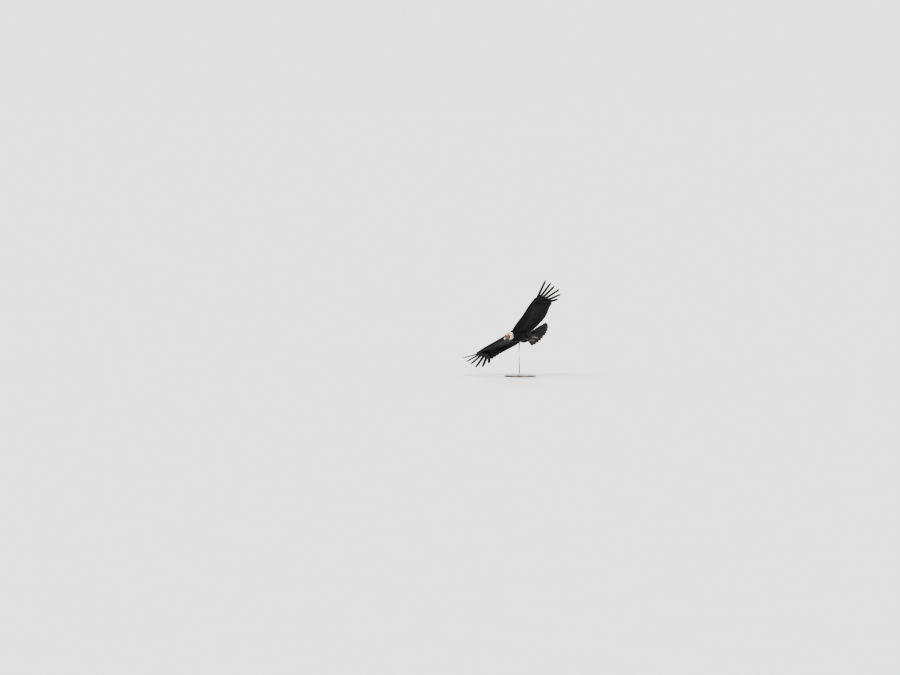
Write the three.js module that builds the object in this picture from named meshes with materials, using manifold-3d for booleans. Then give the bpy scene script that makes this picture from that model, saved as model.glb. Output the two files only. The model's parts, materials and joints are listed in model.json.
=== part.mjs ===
// An Andean condor in a banked glide, life size, on a flat round base with one rod.
// Millimetres. The bird is drawn level in its own frame: +X is its left, +Y aft and +Z up,
// with the origin on the body axis below the middle of the wings. A group then banks it.

import * as THREE from "three";
import { mergeVertices } from "three/addons/utils/BufferGeometryUtils.js";
import Module from "manifold-3d";

const wasm = await Module();
wasm.setup();

// Pose on the stand
const BANK = THREE.MathUtils.degToRad(35.4);
const NOSE_UP = THREE.MathUtils.degToRad(2.1);
const BODY_HEIGHT = 870;
const GAP = 0.35;

// Stand
const BASE_RADIUS = 330;
const BASE_THICKNESS = 24;
const BASE_BEVEL = 5;
const ROD_RADIUS = 10;
const ROD_Y = -20;
const COLLAR_RADIUS = 32;
const COLLAR_HEIGHT = 20;

// Torso sections: y aft, z of the centre, half width, half height
const TORSO = [
  [-300, -14, 62, 62],
  [-262, -18, 92, 90],
  [-190, -26, 121, 116],
  [-90, -32, 132, 124],
  [20, -32, 127, 114],
  [130, -26, 111, 94],
  [220, -18, 92, 70],
  [290, -13, 76, 48],
  [335, -10, 56, 28],
  [352, -8, 34, 12],
];

// Wing outline, from the shoulder outwards: x, y, z of the leading edge
const LEADING_EDGE = [
  [60, -262, -14],
  [130, -296, 22],
  [260, -292, 66],
  [430, -272, 112],
  [600, -272, 150],
  [790, -303, 179],
  [930, -308, 199],
  [1065, -304, 219],
];
// and of the line that the tips of the inner flight feathers reach
const TRAILING_EDGE = [
  [60, 70, -40],
  [150, 130, -34],
  [250, 200, -16],
  [389, 264, 22],
  [503, 304, 54],
  [600, 296, 70],
  [693, 266, 82],
  [887, 168, 86],
  [1050, 92, 79],
];
const CAMBER = 20;

// Flesh of the wing: x, share of the chord that it takes, thickness
const ARM = [
  [60, 0.72, 104],
  [130, 0.66, 96],
  [260, 0.58, 74],
  [430, 0.52, 58],
  [600, 0.44, 46],
  [790, 0.34, 34],
  [900, 0.27, 26],
  [1000, 0.2, 18],
  [1030, 0.12, 10],
];

// The six fingers of the wingtip, outermost first: tip x, y, z
const FINGER_TIPS = [
  [1471, -282, 376],
  [1500, -183, 303],
  [1484, -107, 229],
  [1484, -9, 146],
  [1382, 81, 90],
  [1222, 134, 80],
];
const PRIMARIES = 10;
const SECONDARIES = 12;
const FINGER_BASE_X = 1062;
const FINGER_WIDTH = 48;
const FINGER_BOW = 20;
const FINGER_BASE_STEP = 4;
const PRIMARY_WIDTH = 98;
const SECONDARY_WIDTH = 80;
const VANE_THICKNESS = 1.3;
const VANE_TILT = THREE.MathUtils.degToRad(7);
const WRIST_CUT_X = 798;
const WRIST_CUT_SLOPE = 0.12;

// Tail fan
const TAIL_TWIST = THREE.MathUtils.degToRad(16);
const TAIL_RISE = 34;
const RECTRICES_A_SIDE = 6;
const TAIL_SPREAD = THREE.MathUtils.degToRad(38);
const TAIL_ROOT_Y = 250;
const TAIL_ROOT_HALF_WIDTH = 74;
const TAIL_LENGTH = 536;
const TAIL_WIDTH = 72;

// Neck and head
const NECK_ROOT = new THREE.Vector3(0, -262, -22);
const NECK_RADIUS = 40;
const HEAD_AT = new THREE.Vector3(-6, -426, -62);
const HEAD_PITCH = THREE.MathUtils.degToRad(20);
const HEAD_ROLL = THREE.MathUtils.degToRad(20);
const HEAD_YAW = THREE.MathUtils.degToRad(6);
// Skull sections in the head's own frame: y aft, z of the centre, half width, half height
const SKULL = [
  [62, -13, 37, 39],
  [42, -9, 36, 39],
  [18, -3, 34.5, 36],
  [-6, -1, 31.5, 33],
  [-28, -5, 25, 27],
  [-46, -9, 18.5, 22],
];
const EYE_RADIUS = 9;
const EYE_AT = [23, -13, 8];
const EYE_LOOKS = [1, -0.28, 0.2];
const LID_RISE = 6;
const LID_RADIUS = 7.8;
const LID_TUBE = 2.4;
const MOUTH_CORNER_Y = -16;
const MOUTH_Z = -15;

// Ruff
const RUFF_AT = new THREE.Vector3(-7, -315, -26);
const RUFF_AHEAD = new THREE.Vector3(-0.08, -0.97, -0.17).normalize();
const RUFF_RADIUS = 54;
const RUFF_TUBE = 18;
const RUFF_LOCKS = 13;

// A random draw that is the same on every run
function seeded(seed) {
  let state = seed;
  return () => {
    state = (state * 1664525 + 1013904223) % 4294967296;
    return state / 4294967296;
  };
}

// The value of a table of rows at its first column, along a smooth curve through the rows
function along(table, at, column) {
  const last = table.length - 1;
  const rising = table[last][0] > table[0][0];
  let i = 0;
  while (i < last - 1 && (rising ? at > table[i + 1][0] : at < table[i + 1][0])) i += 1;
  const slope = (k) => {
    const a = table[Math.max(k - 1, 0)];
    const b = table[Math.min(k + 1, last)];
    return (b[column] - a[column]) / (b[0] - a[0]);
  };
  const [x0, x1] = [table[i][0], table[i + 1][0]];
  const t = THREE.MathUtils.clamp((at - x0) / (x1 - x0), 0, 1);
  const h = x1 - x0;
  const start = table[i][column] * (2 * t ** 3 - 3 * t ** 2 + 1) + h * slope(i) * (t ** 3 - 2 * t ** 2 + t);
  return start + table[i + 1][column] * (3 * t ** 2 - 2 * t ** 3) + h * slope(i + 1) * (t ** 3 - t ** 2);
}

// A closed body from rings of points. The quads of the side `flipped` take the other diagonal.
function ringBody(rings, flipped = -1) {
  const sides = rings[0].length;
  const points = rings.flat();
  const faces = [];
  for (let j = 0; j < rings.length - 1; j += 1) {
    for (let k = 0; k < sides; k += 1) {
      const a = j * sides + k;
      const b = j * sides + ((k + 1) % sides);
      const c = b + sides;
      const d = a + sides;
      if (k === flipped) faces.push(a, b, d, b, c, d);
      else faces.push(a, b, c, a, c, d);
    }
  }
  for (const [j, first] of [[0, true], [rings.length - 1, false]]) {
    const middle = rings[j].reduce((sum, p) => sum.add(p), new THREE.Vector3()).divideScalar(sides);
    points.push(middle);
    for (let k = 0; k < sides; k += 1) {
      const a = j * sides + k;
      const b = j * sides + ((k + 1) % sides);
      faces.push(...(first ? [points.length - 1, b, a] : [points.length - 1, a, b]));
    }
  }
  const geometry = new THREE.BufferGeometry().setFromPoints(points);
  return geometry.setIndex(faces);
}

// A three.js geometry as a manifold solid, turned right side out
function toSolid(geometry) {
  const bare = geometry.clone();
  bare.deleteAttribute("normal");
  bare.deleteAttribute("uv");
  const merged = mergeVertices(bare, 1e-3);
  const place = merged.attributes.position;
  const triVerts = new Uint32Array(merged.index.array);
  const [a, b, c] = [new THREE.Vector3(), new THREE.Vector3(), new THREE.Vector3()];
  let volume = 0;
  for (let i = 0; i < triVerts.length; i += 3) {
    a.fromBufferAttribute(place, triVerts[i]);
    b.fromBufferAttribute(place, triVerts[i + 1]);
    c.fromBufferAttribute(place, triVerts[i + 2]);
    volume += a.dot(b.cross(c));
  }
  if (volume < 0) {
    for (let i = 0; i < triVerts.length; i += 3) {
      [triVerts[i + 1], triVerts[i + 2]] = [triVerts[i + 2], triVerts[i + 1]];
    }
  }
  const vertProperties = new Float32Array(place.array);
  return new wasm.Manifold(new wasm.Mesh({ numProp: 3, vertProperties, triVerts }));
}

function toGeometry(solid) {
  const { vertProperties, triVerts } = solid.getMesh();
  const geometry = new THREE.BufferGeometry();
  geometry.setAttribute("position", new THREE.BufferAttribute(new Float32Array(vertProperties), 3));
  geometry.setIndex(new THREE.BufferAttribute(new Uint32Array(triVerts), 1));
  geometry.computeVertexNormals();
  return geometry;
}

const fuse = (solids) => solids.reduce((sum, solid) => sum.add(solid));

const cut = (solid, ...tools) => tools.reduce((left, tool) => left.subtract(tool), solid);

function largest(solid) {
  return solid.decompose().reduce((best, piece) => (piece.volume() > best.volume() ? piece : best));
}

// An oval ring across the Y axis
function ovalRing(y, z, halfWidth, halfHeight, sides, x = 0) {
  return Array.from({ length: sides }, (_, k) => {
    const angle = (2 * Math.PI * k) / sides;
    return new THREE.Vector3(x + halfWidth * Math.sin(angle), y, z + halfHeight * Math.cos(angle));
  });
}

// Sections of a table laid along Y, grown by `grow` all round
function sectionBody(table, stations, sides, grow = 0) {
  const [from, to] = [table[0][0], table[table.length - 1][0]];
  const rings = Array.from({ length: stations + 1 }, (_, j) => {
    const y = from + ((to - from) * j) / stations;
    const end = j === 0 || j === stations ? Math.sign(j === 0 ? from - to : to - from) * grow : 0;
    const size = (column) => along(table, y, column) + grow;
    return ovalRing(y + end, along(table, y, 1), size(2), size(3), sides);
  });
  return toSolid(ringBody(rings));
}

// A tube of oval sections along a path of points, with a radius for each
function tube(path, radii, sides, flatten = 1) {
  const rings = path.map((p, j) => {
    const before = path[Math.max(j - 1, 0)];
    const after = path[Math.min(j + 1, path.length - 1)];
    const ahead = after.clone().sub(before).normalize();
    const across = new THREE.Vector3(0, 0, 1).cross(ahead);
    if (across.length() < 0.05) across.set(1, 0, 0);
    across.normalize();
    const rise = ahead.clone().cross(across);
    return Array.from({ length: sides }, (_, k) => {
      const angle = (2 * Math.PI * k) / sides;
      const side = across.clone().multiplyScalar(radii[j] * Math.sin(angle));
      const up = rise.clone().multiplyScalar(radii[j] * flatten * Math.cos(angle));
      return p.clone().add(side).add(up);
    });
  });
  return toSolid(ringBody(rings));
}

// A feather or lock: a thin vane along `path(t)`, `across(t)` its width direction and
// `width(t)` its width, with the share `lead` of that on the side that `across` points to
function vane({ path, across, width, stops, lead = 0.5 }) {
  const step = 0.01;
  const rings = stops.map((t) => {
    const p = path(t);
    const ahead = path(Math.min(t + step, 1)).sub(path(Math.max(t - step, 0))).normalize();
    const side = across(t).clone();
    side.addScaledVector(ahead, -side.dot(ahead)).normalize();
    const rise = ahead.clone().cross(side);
    if (rise.z < 0) rise.negate();
    const at = (offset, height) => p.clone().addScaledVector(side, offset).addScaledVector(rise, height);
    const [outer, inner] = [width(t) * lead, -width(t) * (1 - lead)];
    const half = VANE_THICKNESS / 2;
    return [at(inner, half), at(outer, half), at(outer, -half), at(inner, -half)];
  });
  return toSolid(ringBody(rings, 2));
}

// How a plain vane's width runs out to its rounded tip, as a share of the full width
const roundTip = (t) => (t < 0.8 ? 1 : Math.sqrt(Math.max(0.05, 1 - ((t - 0.8) / 0.2) ** 2)));

// A point of the wing: x outwards, `chord` 0 at the leading and 1 at the trailing edge
function wingPoint(x, chord, height = 0) {
  const y0 = along(LEADING_EDGE, x, 1);
  const z0 = along(LEADING_EDGE, x, 2);
  const y = y0 + (along(TRAILING_EDGE, x, 1) - y0) * chord;
  const z = z0 + (along(TRAILING_EDGE, x, 2) - z0) * chord;
  return new THREE.Vector3(x, y, z + 4 * CAMBER * chord * (1 - chord) + height);
}

// Half the thickness of the flesh, with u 0 at its front and 1 at its back
function fleshHalf(x, u) {
  const half = 5 * (0.2969 * Math.sqrt(u) - 0.126 * u - 0.3516 * u ** 2 + 0.2843 * u ** 3 - 0.1015 * u ** 4);
  return along(ARM, x, 2) * half + 2.5 * Math.min(1, 8 * u);
}

// Flesh of one wing, from inside the torso to the end of the hand
function armBody(stations, sides, grow = 0) {
  const [from, to] = [ARM[0][0], ARM[ARM.length - 1][0] + grow];
  const rings = Array.from({ length: stations + 1 }, (_, j) => {
    const x = from + ((to - from) * j) / stations;
    const centre = wingPoint(x, along(ARM, x, 1) / 2);
    return Array.from({ length: sides }, (_, k) => {
      const angle = (2 * Math.PI * k) / sides;
      const u = (1 - Math.cos(angle)) / 2;
      const edge = Math.abs(Math.sin(angle)) < 1e-6;
      const p = wingPoint(x, along(ARM, x, 1) * u, edge ? 0 : fleshHalf(x, u) * Math.sign(Math.sin(angle)));
      const out = p.clone().sub(centre).normalize();
      return p.addScaledVector(out, 2 * grow);
    });
  });
  return toSolid(ringBody(rings));
}

// Width direction of a vane that points aft: outwards along the wing, outer edge raised
function outward(x, chord, tilt) {
  const way = wingPoint(x + 15, chord).sub(wingPoint(x - 15, chord)).normalize();
  way.z += Math.sin(tilt);
  return way;
}

// and of one that points outwards: forward along the chord, leading edge raised
function forward(x, chord, tilt) {
  const way = wingPoint(x, chord - 0.05).sub(wingPoint(x, chord + 0.05)).normalize();
  way.z += Math.sin(tilt);
  return way;
}

// One flight feather of the inner wing, with q 0 beside the body and 1 at the wrist
function secondary(q, random) {
  const root = THREE.MathUtils.lerp(150, 792, q);
  const tip = THREE.MathUtils.lerp(176, 800, q) + 6 * (random() - 0.5);
  const reach = 1 + 0.012 * (random() - 0.5);
  const start = along(ARM, root, 1) * 0.8;
  const across = outward(root, start, VANE_TILT);
  return vane({
    path: (t) => wingPoint(root + (tip - root) * t, start + (reach - start) * t),
    across: () => across,
    width: (t) => SECONDARY_WIDTH * (0.5 + 0.5 * Math.min(1, 2 * t)) * roundTip(t),
    stops: [0, 0.5, 0.9, 1],
    lead: 0.42,
  });
}

// Primary i of the hand, with 0 the outermost. The first six spread as fingers.
function primary(i, random) {
  const share = i / (PRIMARIES - 1);
  const fingers = FINGER_TIPS.length;
  const rootX = THREE.MathUtils.lerp(985, 812, share);
  const rootChord = along(ARM, rootX, 1) * THREE.MathUtils.lerp(0.35, 0.75, share);
  const root = wingPoint(rootX, rootChord);
  const grow = (t) => THREE.MathUtils.lerp(0.4, 1, Math.min(1, t * 3)) * roundTip(t);
  if (i >= fingers) {
    const tipX = THREE.MathUtils.lerp(1040, 838, (i - fingers) / (PRIMARIES - 1 - fingers));
    const reach = 1.01 + 0.01 * random();
    const across = outward(rootX, 0.7, VANE_TILT);
    return vane({
      path: (t) => wingPoint(rootX + (tipX - rootX) * t, rootChord + (reach - rootChord) * t),
      across: () => across,
      width: (t) => PRIMARY_WIDTH * grow(t),
      stops: [0, 0.5, 0.9, 1],
      lead: 0.36,
    });
  }
  const baseChord = (i + 0.5) / (fingers + 0.4);
  const bow = FINGER_BOW * Math.sin((Math.PI * i) / fingers);
  const base = wingPoint(FINGER_BASE_X + FINGER_BASE_STEP * i, baseChord, bow);
  const curve = new THREE.CatmullRomCurve3([root, base, new THREE.Vector3(...FINGER_TIPS[i])]);
  const across = forward(FINGER_BASE_X - 40, baseChord, VANE_TILT);
  const notch = THREE.MathUtils.lerp(0.3, 0.4, Math.min(1, i / 3));
  return vane({
    path: (t) => curve.getPoint(t),
    across: () => across,
    width: (t) => {
      const slim = THREE.MathUtils.smoothstep(t, notch, notch + 0.2);
      return THREE.MathUtils.lerp(PRIMARY_WIDTH, FINGER_WIDTH, slim) * grow(t);
    },
    stops: [0, notch + 0.1, 0.8, 0.94, 1],
    lead: 0.36,
  });
}

// A tier of coverts: q runs outwards over x, from the chord share `start` to `end`
function covertTier({ count, fromX, toX, start, end, height, width, tilt, random }) {
  return Array.from({ length: count }, (_, i) => {
    const q = i / (count - 1);
    const x = THREE.MathUtils.lerp(fromX, toX, q);
    const reach = end(x) + 0.02 * (random() - 0.5);
    return vane({
      path: (t) => wingPoint(x + 10 * t, start(x) + (reach - start(x)) * t, height(x, t)),
      across: () => outward(x, 0.5, tilt),
      width: (t) => width * (0.55 + 0.45 * Math.min(1, 1.2 * t)) * roundTip(t),
      stops: [0, 0.88, 1],
    });
  });
}

// Coverts over the roots of the primaries, fanned like them
function primaryCoverts(random, height) {
  return Array.from({ length: 5 }, (_, i) => {
    const share = i / 4;
    const rootX = THREE.MathUtils.lerp(978, 830, share);
    const lift = (t) => height * (0.6 + 0.4 * t);
    const root = wingPoint(rootX, along(ARM, rootX, 1) * 0.6);
    const way = new THREE.Vector3(THREE.MathUtils.lerp(1, 0.42, share), THREE.MathUtils.lerp(0.18, 0.9, share), 0);
    const length = THREE.MathUtils.lerp(150, 178, share) * (1 + 0.05 * (random() - 0.5));
    const tip = root.clone().addScaledVector(way.normalize(), length);
    tip.z += 18 * (1 - share);
    return vane({
      path: (t) => root.clone().lerp(tip, t).add(new THREE.Vector3(0, 0, lift(t))),
      across: () => new THREE.Vector3(way.y, -way.x, Math.sin(VANE_TILT)),
      width: (t) => 56 * (0.55 + 0.45 * Math.min(1, 1.2 * t)) * roundTip(t),
      stops: [0, 0.88, 1],
    });
  });
}

// Two short feathers of the thumb at the wrist
function alula() {
  return [0, 1].map((i) => {
    const root = wingPoint(812 - 8 * i, 0.07 + 0.02 * i, 6);
    const tip = wingPoint(950 - 26 * i, 0.06 + 0.045 * i, 19 - i * 2);
    return vane({
      path: (t) => root.clone().lerp(tip, t),
      across: () => forward(850, 0.1, VANE_TILT),
      width: (t) => 26 * roundTip(t),
      stops: [0, 0.88, 1],
    });
  });
}

// The feathers of one wing, drawn as the left one: those of the arm
function armFeathers(random) {
  const tiers = [];
  for (let i = 0; i < SECONDARIES; i += 1) tiers.push(secondary(i / (SECONDARIES - 1), random));
  const flesh = (x) => along(ARM, x, 1);
  const tier = (over) => ({ random, tilt: VANE_TILT, fromX: 165, toX: 800, ...over });
  tiers.push(...covertTier(tier({
    count: 9, width: 90,
    start: (x) => flesh(x) * 0.8,
    end: (x) => THREE.MathUtils.lerp(flesh(x), 1, 0.46),
    height: (x, t) => 4 + 7 * t,
  })));
  tiers.push(...covertTier(tier({
    count: 8, width: 100,
    start: (x) => flesh(x) * 0.68,
    end: (x) => THREE.MathUtils.lerp(flesh(x), 1, 0.2),
    height: (x, t) => THREE.MathUtils.lerp(0.55 * fleshHalf(x, 0.68), 18, t),
  })));
  tiers.push(...covertTier(tier({
    count: 8, width: 100,
    start: (x) => flesh(x) * 0.8,
    end: (x) => THREE.MathUtils.lerp(flesh(x), 1, 0.34),
    height: (x, t) => -4 - 7 * t,
  })));
  return tiers;
}

// and those of the hand
function handFeathers(random) {
  const tiers = Array.from({ length: PRIMARIES }, (_, i) => primary(i, random));
  return [...tiers, ...primaryCoverts(random, 7), ...primaryCoverts(random, -7), ...alula()];
}

// A half space beyond the wrist cut, moved by `shift` along x
function beyondWrist(shift, outer) {
  const reach = 1200;
  const edge = (y) => WRIST_CUT_X + WRIST_CUT_SLOPE * y + shift;
  const shape = new THREE.Shape();
  shape.moveTo(edge(-reach), -reach);
  shape.lineTo(edge(reach), reach);
  shape.lineTo(outer ? 2 * reach : -reach, reach);
  shape.lineTo(outer ? 2 * reach : -reach, -reach);
  const slab = new THREE.ExtrudeGeometry(shape, { depth: 2 * reach, bevelEnabled: false });
  return toSolid(slab.translate(0, 0, -reach));
}

// One feather of the tail fan, side 1 on the left, i 0 in the middle
function rectrix(i, side, random) {
  const share = (i + 0.5) / RECTRICES_A_SIDE;
  const angle = side * TAIL_SPREAD * share;
  const height = -2.6 * i - (side > 0 ? 1.3 : 0) + 4;
  const root = new THREE.Vector3(side * TAIL_ROOT_HALF_WIDTH * share, TAIL_ROOT_Y - 10 * share, height);
  const way = new THREE.Vector3(Math.sin(angle), Math.cos(angle), 0);
  const length = TAIL_LENGTH * (1 - 0.235 * share ** 2) * (1 + 0.012 * (random() - 0.5));
  const across = new THREE.Vector3(way.y, -way.x, 0).multiplyScalar(side);
  return vane({
    path: (t) => {
      const p = root.clone().addScaledVector(way, length * t);
      p.z += TAIL_RISE * t - 8 * t * t;
      return p;
    },
    across: () => across,
    width: (t) => TAIL_WIDTH * (0.4 + 0.6 * Math.min(1, 2 * t)) * roundTip(t),
    stops: [0, 0.5, 0.9, 1],
    lead: 0.42,
  });
}

// Coverts above (sign 1) and below (sign -1) the root of the tail
function tailCoverts(sign, count, random) {
  return Array.from({ length: count }, (_, i) => {
    const share = (2 * i) / (count - 1) - 1;
    const angle = 0.42 * share;
    const root = new THREE.Vector3(52 * share, 268, sign * (16 - 9 * share ** 2));
    const way = new THREE.Vector3(Math.sin(angle), Math.cos(angle), 0);
    const length = (200 - 28 * Math.abs(share)) * (1 + 0.06 * (random() - 0.5));
    const lift = 1.2 * Math.abs(share) * (count / 2);
    return vane({
      path: (t) => {
        const p = root.clone().addScaledVector(way, length * t);
        p.z += 0.4 * TAIL_RISE * t - sign * (5 + lift * 0.3) * t * t;
        return p;
      },
      across: () => new THREE.Vector3(way.y, -way.x, 0.1),
      width: (t) => 60 * (0.55 + 0.45 * Math.min(1, 1.2 * t)) * roundTip(t),
      stops: [0, 0.88, 1],
    });
  });
}

function tail(torsoGrown) {
  const random = seeded(77);
  const root = sectionBody([[255, -8, 70, 26], [330, -6, 70, 20], [392, -6, 62, 9]], 3, 12);
  const vanes = [];
  for (const side of [1, -1]) {
    for (let i = 0; i < RECTRICES_A_SIDE; i += 1) vanes.push(rectrix(i, side, random));
  }
  vanes.push(...tailCoverts(1, 5, random), ...tailCoverts(-1, 5, random));
  const fan = fuse([root, ...vanes]);
  const twisted = toGeometry(fan).applyMatrix4(new THREE.Matrix4().makeRotationY(-TAIL_TWIST));
  return largest(cut(toSolid(twisted), torsoGrown));
}

// The head's frame as a matrix in the bird's frame
const headFrame = new THREE.Matrix4().makeRotationFromEuler(
  new THREE.Euler(HEAD_PITCH, HEAD_ROLL, HEAD_YAW, "XYZ"),
).setPosition(HEAD_AT);

// The neck runs in a shallow bend from inside the torso to the back of the skull, and
// turns on the way from the body's frame to the head's
function neck(grow = 0) {
  const [y, z, halfWidth, halfHeight] = SKULL[0];
  const joint = new THREE.Vector3(0, y + GAP, z).applyMatrix4(headFrame);
  const behind = new THREE.Vector3(0, y + 70, z + 4).applyMatrix4(headFrame);
  const curve = new THREE.CubicBezierCurve3(NECK_ROOT, new THREE.Vector3(0, -310, -18), behind, joint);
  const turned = new THREE.Quaternion().setFromRotationMatrix(headFrame);
  const stations = 13;
  const rings = Array.from({ length: stations + 1 }, (_, j) => {
    const t = j / stations;
    const fold = j < stations ? 1.8 * (j % 2) : 0;
    const wide = THREE.MathUtils.lerp(NECK_RADIUS + 4, halfWidth, t) - fold + grow;
    const tall = THREE.MathUtils.lerp(NECK_RADIUS + 2, halfHeight, t) - fold + grow;
    const frame = new THREE.Quaternion().slerp(turned, t);
    const at = curve.getPoint(t);
    return ovalRing(0, 0, wide, tall, 18).map((p) => p.applyQuaternion(frame).add(at));
  });
  return toSolid(ringBody(rings));
}

const ellipsoid = (rx, ry, rz, at, detail = 12) =>
  toSolid(new THREE.SphereGeometry(1, detail, Math.round(detail * 0.7)).scale(rx, ry, rz).translate(...at));

// Nodes of the head, in the head's own frame
function headParts() {
  const skull = sectionBody(SKULL, 8, 18);
  const skullGrown = sectionBody(SKULL, 8, 18, GAP);
  const parts = {};
  const lids = [];
  const brows = [];
  const sockets = [];
  const ears = [];
  for (const side of [1, -1]) {
    const [x, y, z] = EYE_AT;
    const eye = [side * x, y, z];
    parts[side > 0 ? "eye_left" : "eye_right"] = ellipsoid(EYE_RADIUS, EYE_RADIUS, EYE_RADIUS, eye, 12);
    sockets.push(ellipsoid(EYE_RADIUS + GAP, EYE_RADIUS + GAP, EYE_RADIUS + GAP, eye, 12));
    const looks = new THREE.Vector3(side * EYE_LOOKS[0], EYE_LOOKS[1], EYE_LOOKS[2]).normalize();
    const facing = new THREE.Quaternion().setFromUnitVectors(new THREE.Vector3(0, 0, 1), looks);
    const lidAt = new THREE.Vector3(...eye).addScaledVector(looks, LID_RISE);
    lids.push(toSolid(new THREE.TorusGeometry(LID_RADIUS, LID_TUBE, 4, 12).applyQuaternion(facing)
      .translate(lidAt.x, lidAt.y, lidAt.z)));
    brows.push(ellipsoid(5, 14, 4.5, [side * (x + 0.5), y + 1, z + 12], 8));
    ears.push(ellipsoid(5, 5, 7.5, [side * 37, 26, -4], 8));
  }
  // Skin folds: cheek bags, the throat wattle and the lappets behind the bill
  const folds = [];
  for (const side of [1, -1]) {
    folds.push(ellipsoid(7, 17, 9, [side * 25, -2, -20], 8));
    folds.push(ellipsoid(6, 20, 6, [side * 30, 28, -27], 8));
    folds.push(ellipsoid(6, 12, 5, [side * 21, -28, -21], 8));
  }
  folds.push(ellipsoid(5.5, 26, 15, [0, 2, -40], 10));
  const mouth = toSolid(new THREE.BoxGeometry(90, 60, 1.4).translate(0, MOUTH_CORNER_Y - 30, MOUTH_Z));
  parts.head = cut(fuse([skull, ...folds, ...lids, ...brows]), mouth, ...sockets, ...ears);

  // Upper bill: straight over the cere, then hooked over the tip
  const upperPath = [[-46.4, -3], [-58, -2], [-72, -2.5], [-84, -5], [-94, -11], [-100, -20], [-102, -31]];
  const upperWide = [16.5, 14.8, 13, 12, 10, 6.4, 1.6];
  const upperHigh = [15, 13.2, 12, 12.2, 10.4, 6.6, 1.4];
  const billRings = (path, wide, high, sides) => path.map(([y, z], j) => {
    const [y0, z0] = path[Math.max(j - 1, 0)];
    const [y1, z1] = path[Math.min(j + 1, path.length - 1)];
    const lean = j === 0 ? 0 : Math.atan2(z0 - z1, y0 - y1);
    return Array.from({ length: sides }, (_, k) => {
      const angle = (2 * Math.PI * k) / sides;
      const up = high[j] * Math.cos(angle);
      return new THREE.Vector3(wide[j] * Math.sin(angle), y + up * Math.sin(-lean), z + up * Math.cos(lean));
    });
  });
  const lowerPath = [[-46.4, -22], [-58, -20.5], [-72, -20], [-84, -21], [-92, -22]];
  const lower = toSolid(ringBody(billRings(lowerPath, [13.5, 12, 9.6, 7, 2.4], [8, 7, 5.6, 4.4, 1.8], 12)));
  const upper = toSolid(ringBody(billRings(upperPath, upperWide, upperHigh, 14)));
  const upperGrown = toSolid(ringBody(billRings(
    upperPath.map(([y, z]) => [y, z - 0.3]), upperWide.map((w) => w + GAP), upperHigh.map((h) => h + GAP), 14,
  )));
  const nostril = toSolid(new THREE.CylinderGeometry(2.4, 2.4, 50, 8).rotateZ(Math.PI / 2)
    .scale(1, 2.1, 1).translate(0, -58, 0.5));
  parts.bill_lower = largest(cut(lower, upperGrown, skullGrown));

  // Comb: a fleshy ridge from the crown to over the nostrils, with a waved crest
  const combStops = [34, 22, 8, -8, -24, -40, -54, -64, -70];
  const combTall = [3, 11, 19, 25, 28, 27, 21, 13, 4];
  const combRings = combStops.map((y, j) => {
    const waved = combTall[j] + 1.8 * (j % 2);
    const base = along(SKULL, Math.max(y, SKULL[5][0]), 1) + along(SKULL, Math.max(y, SKULL[5][0]), 3);
    const foot = y < SKULL[5][0] ? 12 : base;
    return ovalRing(y, foot - 4, 5 + 2.6 * (combTall[j] / 28), waved + 3, 10);
  });
  const comb = toSolid(ringBody(combRings));
  parts.comb = largest(cut(comb, skullGrown, upperGrown.translate([0, 0, 0.3])));
  parts.bill_upper = largest(cut(upper, skullGrown, nostril));
  return parts;
}

// White ruff: a thick ring round the root of the neck, drawn out into two tiers of soft
// locks that are laid back, those of the front tier between those behind
function ruff(...neighbours) {
  const random = seeded(31);
  const facing = new THREE.Quaternion().setFromUnitVectors(new THREE.Vector3(0, -1, 0), RUFF_AHEAD);
  const tiers = [{ at: -0.55, reach: 33, aft: 0.62, shift: 0 }, { at: 0.5, reach: 21, aft: 0.2, shift: 0.5 }]
    .map((tier) => ({ ...tier, uneven: Array.from({ length: RUFF_LOCKS }, () => 0.8 + 0.4 * random()) }));
  const ring = new THREE.TorusGeometry(RUFF_RADIUS, RUFF_TUBE, 11, 4 * RUFF_LOCKS).rotateX(Math.PI / 2);
  const places = ring.attributes.position;
  for (let i = 0; i < places.count; i += 1) {
    const place = new THREE.Vector3().fromBufferAttribute(places, i);
    const out = new THREE.Vector3(place.x, 0, place.z).normalize();
    const turn = Math.atan2(-place.y, Math.hypot(place.x, place.z) - RUFF_RADIUS);
    for (const { at, reach, aft, shift, uneven } of tiers) {
      const lock = (RUFF_LOCKS * Math.atan2(place.x, place.z)) / (2 * Math.PI) + shift;
      const nearest = Math.round(lock);
      const tuft = Math.cos(Math.PI * (lock - nearest)) * Math.exp(-(((turn - at) / 0.6) ** 2));
      const length = reach * uneven[(nearest + 2 * RUFF_LOCKS) % RUFF_LOCKS] * tuft;
      place.addScaledVector(out, 0.85 * length);
      place.y += aft * length;
    }
    places.setXYZ(i, place.x, place.y, place.z);
  }
  const collar = toSolid(ring.applyQuaternion(facing).translate(RUFF_AT.x, RUFF_AT.y, RUFF_AT.z));
  return largest(cut(collar, ...neighbours));
}

// Feathered thigh under the belly, side 1 on the left
const HOCK = [60, 212, -116];
const TOE_ROOT = [52, 330, -92];
function thigh(side) {
  const path = [[66, 20, -78], [72, 80, -100], [70, 140, -112], [64, 190, -116], [61, 214, -115]];
  return tube(path.map(([x, y, z]) => new THREE.Vector3(side * x, y, z)), [46, 46, 36, 24, 14], 14, 0.8);
}

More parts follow.
